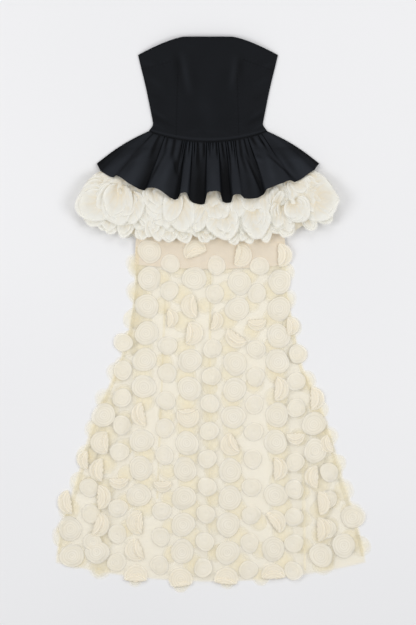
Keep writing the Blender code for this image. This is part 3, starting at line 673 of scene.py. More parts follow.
def peplum_front():
    """Folds with the heights of the hem table over a rising base, with pleats and creases on them."""
    x, drop, v, side, t = peplum_surface(66, 15)
    floor = PEPLUM_WALL + GAP
    open_side = 1 - side ** SIDE_POWER
    base = floor + (level("peplum", drop) - floor) * open_side
    rise = np.clip(spline(PEPLUM_HEM[:, 2], t), 0, None)
    fold = rise * v ** 0.6 * (0.75 + 0.25 * v)
    puff = 3.0 * bell(v - 0.1, 0.08)
    relief = (pleat_relief(t, v) + creases(x, drop, PEPLUM_CREASES) + puff) * open_side
    z = base + fold + np.clip(relief, -5, 6)
    slope = np.abs(np.gradient(z, axis=1) / np.gradient(x, axis=1))
    wall = PEPLUM_WALL * np.minimum(np.sqrt(1 + slope ** 2), 1.8)
    # Painted shade from the folds: darker in their hollows and lighter on their ridges, with a line of
    # painted shade along the waist seam.
    hollow = (z - blurred(z, 30)) / 16 + (z - blurred(z, 7)) / 9 + pleat_relief(t, v) / 9
    shade = np.clip(RIDGE_SHADE + 1.3 * hollow - 0.35 * bell(v, 0.02), 0, 1)
    return add_shell("peplum_front_cloth", together(x, drop, z + wall), together(x, drop, z), BLACK, shade)


def peplum_back():
    """Flat on the surface and a little shorter, with low pressed folds on its upper side."""
    x, drop, _, _, t = peplum_surface(24, 4)
    x, drop = x[:-1], drop[:-1]
    pressed = 0.25 * np.sin(t * 1.7) * np.linspace(0, 1, len(x))[:, None]
    upper = together(x, drop, PEPLUM_WALL - 0.3 + pressed)
    # The shade is painted: lighter on the crests of the pressed folds.
    return add_shell("peplum_back_cloth", upper, upper * (1, 1, 0), BLACK, FLAT_SHADE + 0.2 * pressed)


peplum_front()
peplum_back()

# %% [markdown]
# ## The skirt: organza you can see through
#
# Organza is a crisp, sheer plain weave. One layer hides a little of what lies under it, two hide more,
# so the skirt is lightest where only the surface is behind it and warmest where layers pile up. The
# shader mixes threads with holes: in one constant share on the panels, and in a share that falls
# towards the rim on discs and petals. The warp and weft are a fine bump.

# %% Organza finishes
WEAVE = 0.0011
RING_SHADE = 0.87         # how much darker a circle is where the rim above it shades it
# Painted shade in streaks along the folds that run out from a petal's root.
PAINTED_FOLD_WAVES = 42.0        # folds that run out from a petal's root, in radians over its width


def organza(name, cover, light, deep, painted_glow, through=0.3, tint=(1.0, 1.0, 1.0), rings=None, root=None):
    """Ivory threads with open holes between them: what lies behind shows through the holes.

    cover is the share that threads take up: a number, or stops along the first number of the UV map,
    which is the share of a disc's or petal's radius. painted_glow is an emission, painted light that
    stands in for what comes back from the layers under the threads. through is the share of light that
    soaks through the threads, and tint colours what is seen through the holes. rings paints shade on
    the radius in waves of that length, where the rims of stacked circles shade it, with painted shade
    in the dimple at the centre and a painted highlight on the outer rim. root is a petal's colour near
    its root, painted shade deep in the tier, with painted shade in streaks along its folds and a
    painted highlight on its rim.
    """
    # The emission, in the light colour, is a painted glow: it stands in for light that comes back from the
    # layers under the threads.
    material, start, shader = new_finish(name, 0.55, {
        "Specular IOR Level": 0.15, "Emission Color": light, "Emission Strength": painted_glow})
    across, down = start.here().split()
    warp = (across * (2 * math.pi / WEAVE)).sine()
    weft = (down * (2 * math.pi / WEAVE)).sine()
    cloud = start.here().noise(22.0, 3.0)
    crumple = start.here().noise(120.0, 4.0)
    colour = (cloud * 0.7 + crumple * 0.3).clamped(0.35, 0.65).mix(light, deep)
    bump = (crumple + (warp + weft) * 0.06).bump(0.3, 0.0006)
    radius, way_round = start.cloth().split()
    if rings is not None:
        # Painted shade in waves along the radius, where each circle's rim shades the one under it, and in
        # the dimple at the centre.
        wave = ((radius + cloud * 0.10) * (2 * math.pi / rings)).sine().clamped(-0.5, 1.0)
        dimple = 1.0 - radius.clamped(0.02, 0.12)
        line = (wave + dimple).clamped(0.0, 1.0) * (radius.clamped(0.96, 0.90) * 0.75)
        colour = line.mix(colour, rgb(*(channel * RING_SHADE for channel in deep[:3])))
        # Painted highlight on the outer rim.
        colour = (radius.clamped(0.86, 0.95) * 0.5).mix(colour, rgb(0.95, 0.93, 0.86))
    if root is not None:
        # Painted shade: darker and warmer near the root, deep in the tier, and in streaks along the folds.
        painted_fold_shade = (way_round * PAINTED_FOLD_WAVES + cloud * 9.0).sine().clamped(0.2, 1.0)
        painted_root_shade = 1.0 - radius.clamped(0.15, 0.8)
        colour = (painted_root_shade + painted_fold_shade * 0.30).clamped(0.0, 1.0).mix(colour, root)
        # Painted highlight on the petal's rim.
        colour = (radius.clamped(0.72, 0.97) * 0.7).mix(colour, rgb(0.93, 0.925, 0.885))
    connect(shader, Base_Color=colour, Normal=bump)
    threads = Wire(start.tree, shader.outputs[0])
    soaked = start.node("ShaderNodeBsdfTranslucent", None, {"Color": light})
    threads = start.node("ShaderNodeMixShader", None, {0: through, 1: threads, 2: soaked})
    if not isinstance(cover, float):
        stops = [(place, (value,) * 3) for place, value in cover]
        cover = start.node("ShaderNodeValToRGB", {"stops": stops}, {"Fac": radius})
    holes = start.node("ShaderNodeBsdfTransparent", None, {"Color": rgb(*tint)})
    surface = start.node("ShaderNodeMixShader", None, {0: cover, 1: holes, 2: threads})
    output = start.tree.nodes["Material Output"]
    start.tree.links.new(surface.socket, output.inputs["Surface"])
    return material


IVORY, WARM_IVORY = rgb(0.92, 0.878, 0.775), rgb(0.905, 0.852, 0.72)
AMBER, PALE_AMBER = rgb(0.90, 0.82, 0.60), rgb(0.90, 0.86, 0.73)
SHEER_TINT = (1.0, 0.997, 0.986)
# The fifth number of each organza finish is its painted glow.
SHEER = organza(
    "sheer organza", 0.10, rgb(0.89, 0.845, 0.735), rgb(0.88, 0.82, 0.675), 0.20, 0.2, SHEER_TINT)
SEAM_CLOTH = organza("seam organza", 0.20, PALE_AMBER, AMBER, 0.08, 0.2, SHEER_TINT)
DISC_CLOTH = organza(
    "disc organza", ((0.0, 0.95), (0.6, 0.92), (0.8, 0.86), (0.92, 0.72), (0.99, 0.30), (1.0, 0.06)),
    IVORY, WARM_IVORY, 0.055, 0.15, rings=0.19)
FOLDED_CLOTH = organza(
    "folded organza", ((0.0, 0.90), (0.6, 0.85), (0.8, 0.76), (0.92, 0.60), (0.99, 0.26), (1.0, 0.05)),
    IVORY, WARM_IVORY, 0.07, 0.2, rings=0.19)
FLAT_DISC_CLOTH = organza(
    "flat disc organza", ((0.0, 0.56), (0.45, 0.46), (0.80, 0.28), (1.0, 0.03)),
    PALE_AMBER, AMBER, 0.13, 0.2)

# %% [markdown]
# ## The skirt's two panels
#
# Each panel is a long trapezium with curved sides and a hem that dips in the middle. The front has
# four soft lengthwise folds and small crumples between the discs. Both follow the levels table, so
# they ride over the slip and the hidden seam of the ruffle tier.

# %% Skirt panels
SKIRT = np.array([  # drop, left edge, right edge
    (250, -135, 135), (400, -165, 172), (541, -192, 204), (660, -194, 208), (760, -207, 226),
    (860, -238, 248), (960, -282, 293), (1060, -318, 326), (1160, -344, 354), (1260, -380, 388),
    (1350, -398, 412),
])
HEM_DROP, HEM_RISE, HEM_CENTRE, HEM_HALF = 1418, 50, 7, 405
SIDE_BLUR = 25            # how far along a side its corners are rounded
RIDGES = (  # x, drop, x_last, drop_last, width, rise
    (6, 700, -4, 1400, 48, 6), (-190, 760, -282, 1360, 46, 7),
    (196, 760, 250, 1380, 46, 8), (262, 960, 322, 1340, 40, 6),
)
SKIRT_CREASES = (
    (8, 560, 2, 1390, 5, -1.6), (20, 640, 12, 1100, 4, 1.2), (-16, 900, -26, 1400, 6, 1.2),
    (246, 1120, 252, 1400, 5, -2.4), (-278, 1120, -290, 1360, 5, -2.0), (-110, 700, -130, 1200, 8, 1.2),
    (110, 760, 96, 1300, 7, 1.1), (-58, 620, -70, 900, 5, 0.9), (160, 980, 168, 1380, 6, -1.2),
    (-220, 980, -236, 1340, 6, 1.2), (206, 640, 214, 860, 5, 1.0), (-170, 600, -176, 820, 5, 1.0),
)


def hem_drop(x):
    """The hem: a parabola that rises from its lowest place to the sides."""
    return HEM_DROP - HEM_RISE * ((x - HEM_CENTRE) / HEM_HALF) ** 2


def skirt_folds(x, drop):
    """Wide cosine folds, each along its own straight line and rising over its first third."""
    total = np.zeros(np.broadcast(x, drop).shape)
    for x0, drop0, x1, drop1, width, rise in RIDGES:
        f = np.clip((drop - drop0) / (drop1 - drop0), 0, 1)
        across = np.clip(np.abs(x - x0 - f * (x1 - x0)) / width, 0, 1)
        total += rise * np.minimum(f * 3, 1) * (0.5 + 0.5 * np.cos(math.pi * across))
    return total


def skirt_height(x, drop):
    """Height of the front panel's face: level, folds, creases and a fine crumple."""
    crumple = 0.35 * np.sin(x / 9 + 2 * np.sin(drop / 31)) * np.sin(drop / 13 + 1.5 * np.sin(x / 23))
    shown = smooth_step(drop, 540, 620)
    relief = skirt_folds(x, drop) + creases(x, drop, SKIRT_CREASES) + crumple
    return level("skirt_front", drop) + 1.0 + np.clip(relief, -0.6, None) * shown


def panel_surface(rows, columns, inset, side_end, hem, blur):
    """x and drop of a panel: across between the skirt's curved sides, from the waist seam to a hem."""
    v, u = shares(rows, columns)
    side_drop = SKIRT[0, 0] + v * (side_end - SKIRT[0, 0])
    left = table_curve(SKIRT, 1, side_drop, blur) + inset
    right = table_curve(SKIRT, 2, side_drop, blur) - inset
    x = left + u * (right - left)
    top = waist_seam(x) + GAP
    return x, top + v * (hem(x) - top)


def skirt_surface(rows, columns, inset):
    """x and drop of a whole panel, a little inside the skirt's outline."""
    side_end = HEM_DROP - HEM_RISE
    return panel_surface(rows, columns, inset, side_end, lambda x: hem_drop(x) - inset, SIDE_BLUR)


def skirt_front():
    """The front panel, with its face just above the height that its discs are measured from."""
    x, drop = skirt_surface(230, 110, 2)
    face_side = together(x, drop, skirt_height(x, drop) + 0.2)
    return add_shell("skirt_front_organza", face_side, face_side - (0, 0, 0.5), SHEER)


def skirt_back():
    """The back panel: level, with a faint ripple across it."""
    x, drop = skirt_surface(150, 60, 5)
    ripple = 0.12 * np.sin(x / 14 + np.sin(drop / 40))
    upper = together(x, drop, level("skirt_back", drop) + 1.25 + ripple)
    return add_shell("skirt_back_organza", upper, upper - (0, 0, 0.3), SHEER)


skirt_front()
skirt_back()

# %% Side seams and pressed folds
PRESSED = (  # column of the skirt's side or none, then x, drop, x_last, drop_last, width
    (1, 9, 545, 9, 1345, 9), (2, -9, 545, -9, 1350, 9), (None, 6, 600, 3, 1395, 5),
    (None, 247, 1120, 252, 1385, 7), (None, -279, 1120, -288, 1370, 7), (None, -110, 640, -132, 1200, 5),
)


def pressed_folds():
    """Narrow double layers under the front: along each side seam and where the cloth is folded flat."""
    v = np.linspace(0, 1, 90)[:, None]
    u = np.linspace(-0.5, 0.5, 4)[None, :]
    strips = []
    for column, x0, drop0, x1, drop1, width in PRESSED:
        drop = drop0 + v * (drop1 - drop0)
        x = x0 + v * (x1 - x0) + u * width * (1 + 0.2 * np.sin(drop / 37))
        if column is not None:
            x = x + table_curve(SKIRT, column, drop, SIDE_BLUR)
        strips.append(together(x, drop, skirt_height(x, drop) - 0.6))
    strips = np.stack(strips)
    return add_shells("skirt_seams", strips, strips - (0, 0, 0.2), SEAM_CLOTH, together(u, v))


pressed_folds()

# %% [markdown]
# ## Discs of stacked organza
#
# Each disc is four or five circles of organza, one on the other, stitched down together at the centre
# and free at the rim. Seen from above it is a set of rings with a dimple. One disc could be modelled
# and copied, but real ones differ, so all of them are worked out in one array: a turned profile with a
# step at every circle's rim, with each disc's own waves, tilt and slightly uneven circles.

# %% Where the discs are
SMALL, LARGE = 23.5, 29.5
COLUMNS = {  # first x and drop, last x and drop, how many, radius
    "centre": (21, 595, -12, 1382, 12, SMALL), "left_1": (-34, 558, -71, 1410, 13, LARGE),
    "left_2": (-96, 589, -126, 1373, 12, SMALL), "left_3": (-152, 558, -188, 1403, 13, LARGE),
    "left_4": (-219, 795, -239, 1365, 9, SMALL), "left_5": (-270, 984, -290, 1338, 6, LARGE),
    "left_6": (-316, 1100, -298, 1312, 4, SMALL), "left_7": (-361, 1209, -354, 1349, 3, LARGE),
    "right_1": (84, 567, 47, 1409, 13, LARGE), "right_2": (132, 595, 106, 1386, 12, SMALL),
    "right_3": (188, 567, 170, 1400, 13, LARGE), "right_4": (231.6, 823, 220, 1388, 9, SMALL),
    "right_5": (272, 939, 292, 1348, 7, LARGE), "right_6": (316, 1057, 308, 1276, 4, SMALL),
    "right_7": (376, 1249, 353, 1322, 2, LARGE), "right_4_top": (212, 752, 212, 752, 1, SMALL),
}
FOLDED = {  # the way the kept side points in degrees, and where the fold line is, in radii
    ("left_1", 0): (110, 0.3), ("left_1", 2): (188, 0.25), ("left_1", 3): (352, 0.35),
    ("left_1", 6): (275, 0.45), ("left_2", 2): (0, 0.1), ("left_2", 8): (270, 0.1),
    ("left_3", 6): (190, 0.1), ("left_3", 10): (180, 0.3), ("left_3", 11): (200, 0.3),
    ("left_4", 5): (270, 0.1), ("left_5", 1): (180, 0.4), ("left_5", 2): (178, 0.1),
    ("left_5", 3): (0, 0.1), ("left_5", 4): (340, 0.2), ("left_6", 0): (180, 0.1),
    ("left_7", 0): (190, 0.1),
    ("centre", 2): (345, 0.1), ("right_1", 0): (350, 0.35), ("right_1", 3): (235, 0.1),
    ("right_1", 7): (205, 0.3), ("right_2", 2): (275, 0.1), ("right_3", 0): (0, 0.15),
    ("right_3", 5): (355, 0.15), ("right_3", 8): (0, 0.1), ("right_3", 10): (35, 0.2),
    ("right_5", 3): (180, 0.05), ("right_5", 4): (4, -0.1), ("right_5", 5): (0, 0.1),
    ("left_1", 12): (96, 0.5), ("left_3", 12): (88, 0.3), ("right_1", 12): (84, 0.35),
    ("right_3", 12): (92, 0.2), ("right_4_top", 0): (0, 0.2), ("right_4", 3): (270, 0.1),
    ("right_5", 0): (0, 0.1), ("right_6", 0): (200, 0.1),
}
SPREAD = 1.07             # a disc's free rims fan out a little
AROUND, FLAT_AROUND = 40, 24      # points round a disc of the front, and round one of the back


def disc_places():
    """Rows x, drop, radius of the whole discs, and x, drop, radius, facing, fold of the folded ones."""
    whole, folded = [], []
    for name, (x0, drop0, x1, drop1, count, radius) in COLUMNS.items():
        for k in range(count):
            f = k / max(count - 1, 1)
            row = (x0 + f * (x1 - x0), drop0 + f * (drop1 - drop0), radius * SPREAD)
            if (name, k) in FOLDED:
                facing, fold = FOLDED[name, k]
                folded.append((*row, math.radians(facing), fold * radius * SPREAD))
            else:
                whole.append(row)
    return np.array(whole), np.array(folded)


WHOLE_DISCS, FOLDED_DISCS = disc_places()
print("whole discs:", len(WHOLE_DISCS), "folded:", len(FOLDED_DISCS))

# %% The whole discs
DISC_PROFILE = np.array([  # share of the radius, height above the skirt; a step down is a circle's rim
    (0.04, 1.6), (0.12, 2.1), (0.28, 2.3), (0.43, 2.4), (0.44, 1.9), (0.57, 2.05), (0.58, 1.55),
    (0.70, 1.7), (0.71, 1.3), (0.84, 1.35), (0.85, 0.95), (0.985, 1.0), (1.0, 0.8), (0.985, 0.55),
    (0.5, 0.35),
])
PAST_RIM = 1.5            # the UV radius of a disc's hidden underside, where only loose threads are


def turned_faces(copies, rings, around):
    """Squares of many turned shapes with two poles each, and the triangles at their poles.

    Each copy has rings x around points and then its upper and its lower pole.
    """
    size = rings * around + 2
    index = np.arange(rings * around).reshape(rings, around)
    after = np.roll(index, -1, axis=1)
    square = together(index[:-1], index[1:], after[1:], after[:-1]).reshape(-1, 4)
    upper = together(size - 2, index[0], after[0])
    lower = together(index[-1], size - 1, after[-1])
    starts = size * np.arange(copies)[:, None, None]
    return (starts + square).reshape(-1, 4), (starts + np.concatenate((upper, lower))).reshape(-1, 3)


def ways_round(around):
    """Angles of the points of a ring, along the last axis."""
    return (2 * math.pi * np.arange(around) / around)[None, None, :]


def add_turned(name, points, shown, angle, material, sharp, side, dimple=0.0, last_shown=0.0):
    """Turned shapes as one piece, from an array of rings; the poles are the middles of the end rings.

    The UV map holds the share of the radius that the material reads there, and the share of the way
    round. side is 1 for rings that run anticlockwise seen from above, and -1 for clockwise ones.
    """
    count, rings, around = points.shape[:3]
    poles = points[:, [0, -1]].mean(axis=2)
    poles[:, 0, 2] -= dimple
    points = np.concatenate((points.reshape(count, -1, 3), poles), axis=1).reshape(-1, 3)
    uv = together(shown, angle / (2 * math.pi)).reshape(-1, 2)
    uv = np.concatenate((uv, [(0, 0), (last_shown, 0)]))
    faces = [faces[:, ::side] for faces in turned_faces(count, rings, around)]
    return add_piece(name, points, faces, np.tile(uv, (count, 1)), material, sharp)


def whole_discs(name, places, around, profile, foot, seed, material, wave=1.0):
    """Turned profiles on the skirt: each circle is a little uneven and waves along its rim."""
    draw = np.random.default_rng(seed)
    count = len(places)
    share, height = profile[:, 0][None, :, None], profile[:, 1][None, :, None]
    angle = ways_round(around)
    x, drop, radius = (places[:, k][:, None, None] for k in range(3))
    phase = draw.uniform(0, 2 * math.pi, (6, count, 1, 1))
    uneven = 1 + 0.05 * share * np.sin(2 * angle + phase[0]) + 0.025 * np.sin(3 * angle + phase[1])
    uneven = uneven + 0.012 * share * np.sin(5 * angle + phase[2])
    ring_shift = 2.6 * np.sin(11 * share + phase[2])
    px = radius * share * uneven * np.cos(angle) + ring_shift * share * np.cos(phase[3])
    py = radius * share * uneven * np.sin(angle) + ring_shift * share * np.sin(phase[3])
    swell = 0.75 * np.sin(2 * angle + phase[4]) + 0.5 * np.sin(3 * angle + phase[5] + 4 * share)
    tilt = draw.uniform(-0.045, 0.045, (2, count, 1, 1))
    turn = draw.uniform(0, 2 * math.pi, (count, 1, 1))
    off = draw.uniform(0.1, 0.5, (count, 1, 1)) * radius
    depth = draw.choice((0.0, 0.0, 0.9, 1.5), (count, 1, 1))
    past = px * np.cos(turn) + py * np.sin(turn) - off
    along = py * np.cos(turn) - px * np.sin(turn)
    dent = depth * np.exp(-((past - 0.012 * along ** 2) / 2.6) ** 2 - (along / (0.6 * radius)) ** 4)
    lift = wave * (swell * share ** 2 + px * tilt[0] + py * tilt[1] - dent)
    x, drop = x + px, drop + py
    z = foot(x, drop) + height + lift * np.clip(height / 3, 0.0, 1)
    past_rim = np.arange(len(profile)) > profile[:, 0].argmax()
    shown = np.where(past_rim[None, :, None], PAST_RIM, share)
    return add_turned(name, together(x, drop, z), shown, angle, material, 40, -1, 0.4, PAST_RIM)


whole_discs("skirt_front_discs", WHOLE_DISCS, AROUND, DISC_PROFILE, skirt_height, seed=5,
            material=DISC_CLOTH)

# %% The folded discs
STACK = np.array([  # share of the radius, half of the thickness there
    (0.05, 0.62), (0.2, 0.62), (0.42, 0.62), (0.435, 0.5), (0.57, 0.5), (0.585, 0.38), (0.70, 0.38),
    (0.715, 0.26), (0.84, 0.26), (0.855, 0.14), (0.99, 0.14), (1.0, 0.05),
])
BEND = 1.5                # radius of the half circle that the fold makes


def bent_over(p, height, fold):
    """Carries points past the line p = -fold round a half circle, to lie back over the kept side."""
    past = -(p + fold)
    angle = np.clip(past / BEND, 0, math.pi)
    beyond = np.clip(past - math.pi * BEND, 0, None)
    kept = past <= 0
    flat_p = np.where(kept, p, -fold - (BEND - height) * np.sin(angle) + beyond)
    lift = BEND - (BEND - height) * np.cos(angle) + 0.05 * beyond + 0.0014 * beyond ** 2
    return flat_p, np.where(kept, height, lift)


def folded_discs():
    """The stack of circles as a thin two-sided disc, folded over its line and laid on the skirt."""
    draw = np.random.default_rng(11)
    share = np.concatenate((STACK[:, 0], STACK[::-1, 0]))[None, :, None]
    half = np.concatenate((STACK[:, 1], -STACK[::-1, 1]))[None, :, None]
    angle = ways_round(AROUND)
    x, drop, radius, facing, fold = (FOLDED_DISCS[:, k][:, None, None] for k in range(5))
    phase = draw.uniform(0, 2 * math.pi, (3, len(FOLDED_DISCS), 1, 1))
    uneven = 1 + 0.03 * share * np.sin(2 * angle + phase[0])
    p = radius * share * uneven * np.cos(angle)
    q = radius * share * uneven * np.sin(angle)
    bulge = 0.10 * radius * (1 - (q / radius) ** 2)
    flat_p, z = bent_over(p, half, fold + bulge - 0.05 * radius)
    z = z + 0.7 * (share ** 2) * np.sin(2 * angle + phase[1]) + 0.3 * np.sin(3 * angle + phase[2])
    cos, sin = np.cos(facing), np.sin(facing)
    px = x + flat_p * cos - q * sin
    py = drop - flat_p * sin - q * cos
    z = skirt_height(px, py) + 2.0 + np.clip(z, -1.2, None)
    return add_turned("skirt_folded_discs", together(px, py, z), share, angle, FOLDED_CLOTH, 50, 1)


folded_discs()

# %% The back's discs, pressed flat
FLAT_PROFILE = np.array([(0.1, 0.92), (0.55, 0.92), (0.57, 0.74), (0.80, 0.72), (0.82, 0.5), (1.0, 0.45),
                         (1.0, 0.12), (0.5, 0.1)])
SIDE_DISCS = (590, 1340, 71)      # first and last drop of the discs that peep out at the sides, and step
SIDE_INSET, SIDE_SHIFT = 9, 22    # their middles inside the edge, and the right ones down from the left
BACK_SHIFT = (12, 31)             # the back's columns over and down from the front's
BARE_REACH = 30                   # how far round a gap no disc has its middle
BARE = np.array([                 # x and drop of gaps where the surface shows through both layers
    (-94, 769), (-98, 908), (118, 854), (-16, 748), (-93, 1052), (110, 1065), (110, 993), (-188, 1030),
    (-248, 1254), (-173, 1309), (118, 1289), (115, 1361), (110, 1207), (-233, 1333), (-163, 1382),
    (106, 1135), (-30, 900),
])
PAST_HEM = np.array([(-189, 1413, 18), (-69, 1421, 24), (50, 1417, 19), (-284, 1387, 18)])


def back_places():
    """The back's columns stand half a space over and half a space down from the front's.

    A few gaps are bare. One more column along each side peeps out from under the front, and so do
    some at the hem.
    """
    places = np.concatenate((WHOLE_DISCS, FOLDED_DISCS[:, :3]))
    x = BACK_SHIFT[0] - places[:, 0]
    drop = BACK_SHIFT[1] + places[:, 1]
    inside = (x > np.interp(drop, SKIRT[:, 0], SKIRT[:, 1]) + 6)
    inside &= (x < np.interp(drop, SKIRT[:, 0], SKIRT[:, 2]) - 6) & (drop < hem_drop(x) - 8)
    inside &= np.hypot(x[:, None] - BARE[:, 0], drop[:, None] - BARE[:, 1]).min(axis=1) > BARE_REACH
    hidden = together(x, drop, places[:, 2])[inside]
    drop = np.arange(*SIDE_DISCS)
    sides = [together(np.interp(drop + shift, SKIRT[:, 0], SKIRT[:, column]) - side * SIDE_INSET,
                      drop + shift, LARGE)
             for column, side, shift in ((1, -1, 0), (2, 1, SIDE_SHIFT))]
    return np.concatenate((hidden, PAST_HEM, *sides))


whole_discs("skirt_back_discs", back_places(), FLAT_AROUND, FLAT_PROFILE,
            lambda x, drop: level("skirt_back", drop), seed=9, material=FLAT_DISC_CLOTH, wave=0.0)

# %% [markdown]
# ## The slip
#
# A short slip in a nude lining hangs between the skirt's two layers. It shows as a warmer band below
# the ruffle, with its hem's double fold as a faint line.

# %% Slip
SLIP_HEM_DROP, SLIP_HEM_RISE = 603, 12
SLIP_HEM_DEPTH, SLIP_INSET = 15, 4


def nude_lining():
    """A smooth warm lining, slightly mottled, with a soft gloss."""
    material, start, shader = new_finish("nude lining", 0.42, {"Specular IOR Level": 0.3})
    cloud = start.here().noise(30.0, 3.0)
    thread = start.here().noise(1500.0, 1.0)
    colour = cloud.clamped(0.3, 0.7).mix(rgb(0.745, 0.675, 0.59), rgb(0.725, 0.645, 0.55))
    connect(shader, Base_Color=colour, Normal=(cloud + thread * 0.3).bump(0.2, 0.0004))
    return material


NUDE = nude_lining()


def slip_hem(x):
    """The slip's hem: a flatter parabola than the skirt's."""
    return SLIP_HEM_DROP - SLIP_HEM_RISE * ((x - 10) / 200) ** 2


def slip(name, floor_height):
    """A panel between the skirt's layers, nearly twice as thick along its hem."""
    x, drop = panel_surface(120, 60, SLIP_INSET, SLIP_HEM_DROP, slip_hem, 10)
    foot = level("skirt_back", drop) + floor_height
    hem = 0.4 * (slip_hem(x) - drop < SLIP_HEM_DEPTH)
    return add_shell(name, together(x, drop, foot + 0.6 + hem), together(x, drop, foot + 0.1), NUDE)


slip("slip_back_lining", 1.7)
slip("slip_front_lining", 3.0)

# %% [markdown]
# ## The ruffle tier
#
# Under the peplum is a deep ruffle of organza circles that are pinched at one point and sewn to a yoke,
# so each opens like a petal, in one to four nested layers. Cloth simulation would need many pinned
# circles, so each petal is a formula: a fan that grows from its root, arches up, waves more and more
# towards its rim and droops there. The table places the petals as they fall on the real tier, and
# three plain rows of others fill the gaps under them.

# %% Petals of the front
# The root colour is painted shade, warmer and darker deep in the tier.
PETAL_CLOTH = organza(
    "petal organza", ((0.0, 1.0), (0.6, 0.93), (0.93, 0.82), (1.0, 0.45)),
    rgb(0.835, 0.83, 0.785), rgb(0.815, 0.79, 0.715), 0.08, 0.22, root=rgb(0.815, 0.73, 0.565))

# Root x, drop, direction (90 is down), length, half spread, height, waves, layers.
FRONT_PETALS = np.array([
    (-262, 392, 168, 76, 58, 20, 1, 2), (-258, 414, 148, 88, 56, 25, 1, 2),
    (-276, 438, 128, 60, 46, 14, 1, 2), (-252, 454, 122, 56, 40, 11, 2, 2),
    (-208, 463, 95, 58, 34, 10, 2, 2), (-172, 424, 95, 80, 26, 14, 2, 3),
    (-203, 403, 75, 85, 30, 22, 1, 3), (-228, 384, 92, 112, 30, 27, 1, 3),
    (-238, 388, 118, 96, 32, 24, 1, 2), (-135, 455, 92, 72, 28, 12, 2, 2),
    (-94, 481, 100, 58, 36, 10, 2, 2), (-109, 413, 88, 80, 26, 18, 2, 2),
    (-146, 387, 92, 62, 38, 22, 1, 2), (-42, 424, 88, 96, 24, 20, 2, 3),
    (-83, 403, 75, 100, 30, 26, 1, 3), (-10, 416, 95, 88, 24, 23, 1, 2),
    (36, 439, 80, 96, 34, 21, 2, 3), (16, 419, 80, 66, 34, 22, 1, 2),
    (83, 437, 95, 50, 20, 8, 1, 1), (109, 481, 85, 62, 22, 10, 1, 2),
    (151, 471, 80, 66, 22, 10, 1, 2), (120, 439, 85, 82, 42, 22, 2, 3),
    (109, 403, 80, 56, 36, 20, 1, 2), (192, 424, 88, 84, 26, 16, 2, 3),
    (203, 465, 85, 62, 30, 10, 2, 2), (172, 444, 272, 56, 22, 22, 1, 2),
    (250, 455, 70, 52, 34, 10, 2, 2), (218, 424, 60, 62, 52, 26, 1, 4),
    (252, 403, 40, 78, 34, 16, 3, 3), (262, 412, 34, 86, 56, 24, 1, 2),
    (256, 388, 20, 82, 54, 19, 1, 2), (218, 367, 60, 62, 38, 18, 1, 2),
    (244, 368, 48, 60, 38, 16, 1, 2), (-215, 350, 120, 66, 38, 12, 2, 2),
    (282, 434, 48, 60, 38, 12, 2, 2),
    (-244, 470, 110, 48, 30, 8, 2, 2), (-60, 492, 90, 48, 34, 8, 2, 2),
    (-10, 495, 88, 44, 34, 8, 2, 2), (66, 494, 92, 46, 32, 8, 2, 2), (-168, 486, 95, 46, 32, 8, 2, 2),
])


def peplum_hem_drop(x):
    """Drop of the peplum's hem above a place across the gown."""
    return np.interp(x, PEPLUM_HEM[:, 0], PEPLUM_HEM[:, 1], left=0, right=0)


LOBE_TURN = 0.46          # how far a lobe opens on each side of its middle, as a share of a half turn
LOBE_ROUND = 0.5          # power of the cosine that rounds a petal's outline
LOBE_HALF = 0.86          # half width that a petal of spread 90 would have, as a share of its length
PETAL_WALL = 0.3
FLUTE = 3.2               # height of the folds that run out from a petal's root
LAYER_TURN = 0.46         # the most that an upper layer turns from the one below it, in radians
SHOULDER = np.array([     # distance across the gown, and the highest drop that a petal reaches there
    (238, 200), (262, 338), (290, 353), (315, 377), (338, 416), (352, 446),
])


def peplum_half(drop):
    """Half width of the peplum at a drop: a straight line from the waist seam to its tips."""
    f = np.clip((drop - waist_seam(WAIST_HALF)) / (PEPLUM_HEM[0, 1] - waist_seam(WAIST_HALF)), 0.02, 1)
    return WAIST_HALF + f * (PEPLUM_HEM[-1, 0] - WAIST_HALF)


def petal_layers(petals, seed, rows, columns):
    """Round lobes from their roots: the reach is a power of the cosine of the way round.

    Each arches along itself, and a wave across it grows to the rim. One row for each layer of each
    petal; an upper layer is shorter and stands a little higher.
    """
    draw = np.random.default_rng(seed)
    layered = [(number, *row[:7], k) for number, row in enumerate(petals) for k in range(int(row[7]))]
    number, x, drop, heading, length, spread, height, waves, layer = np.array(layered).T[:, :, None, None]
    which = number[:, 0, 0].astype(int)
    chance = draw.uniform(-1, 1, (6, len(petals)))[:, which][:, :, None, None]
    own = draw.uniform(-1, 1, (4, len(which), 1, 1))
    u = (np.linspace(0, 1, rows) ** 0.85)[None, :, None]
    v = np.linspace(-1, 1, columns)[None, None, :]
    share = 1 - 0.10 * layer * (1 + 0.4 * own[0])
    ragged = 1 + u * (0.07 * np.sin(4 * v + 3 * chance[0]) + 0.025 * np.sin(9 * v + 6 * own[3]))
    turn = LOBE_TURN * math.pi * v
    reach = length * share * u * np.cos(turn) ** LOBE_ROUND * ragged
    narrow = np.sin(np.radians(spread)) / LOBE_HALF
    bend = 0.16 * chance[2] * u ** 2 + LAYER_TURN * own[1] * (layer > 0)
    facing = np.radians(heading) + bend
    along, across = reach * np.cos(turn), reach * np.sin(turn) * narrow
    px = x + along * np.cos(facing) - across * np.sin(facing)
    py = drop + along * np.sin(facing) + across * np.cos(facing)
    shoulder = np.interp(np.abs(px), SHOULDER[:, 0], SHOULDER[:, 1])
    py = shoulder + 5 * np.logaddexp(0, (py - shoulder) / 5)
    rise = np.sin(math.pi * 0.62 * u ** 0.8)
    shell = 1 - (0.30 + 0.12 * chance[4]) * v ** 2
    wave = (0.10 * height + 1.2) * u ** 2 * np.sin(waves * math.pi * v + 3 * chance[5] + 0.5 * layer)
    folds = 8.5 + 3.0 * chance[4]
    flute = FLUTE * u ** 0.6 * (1.1 - 0.5 * u) * np.sin(folds * v + 5 * chance[3] + 0.5 * own[2])
    z = height * rise * shell + wave + flute + 1.7 * layer * np.minimum(2 * u, 1)
    return px, py, z, u, v


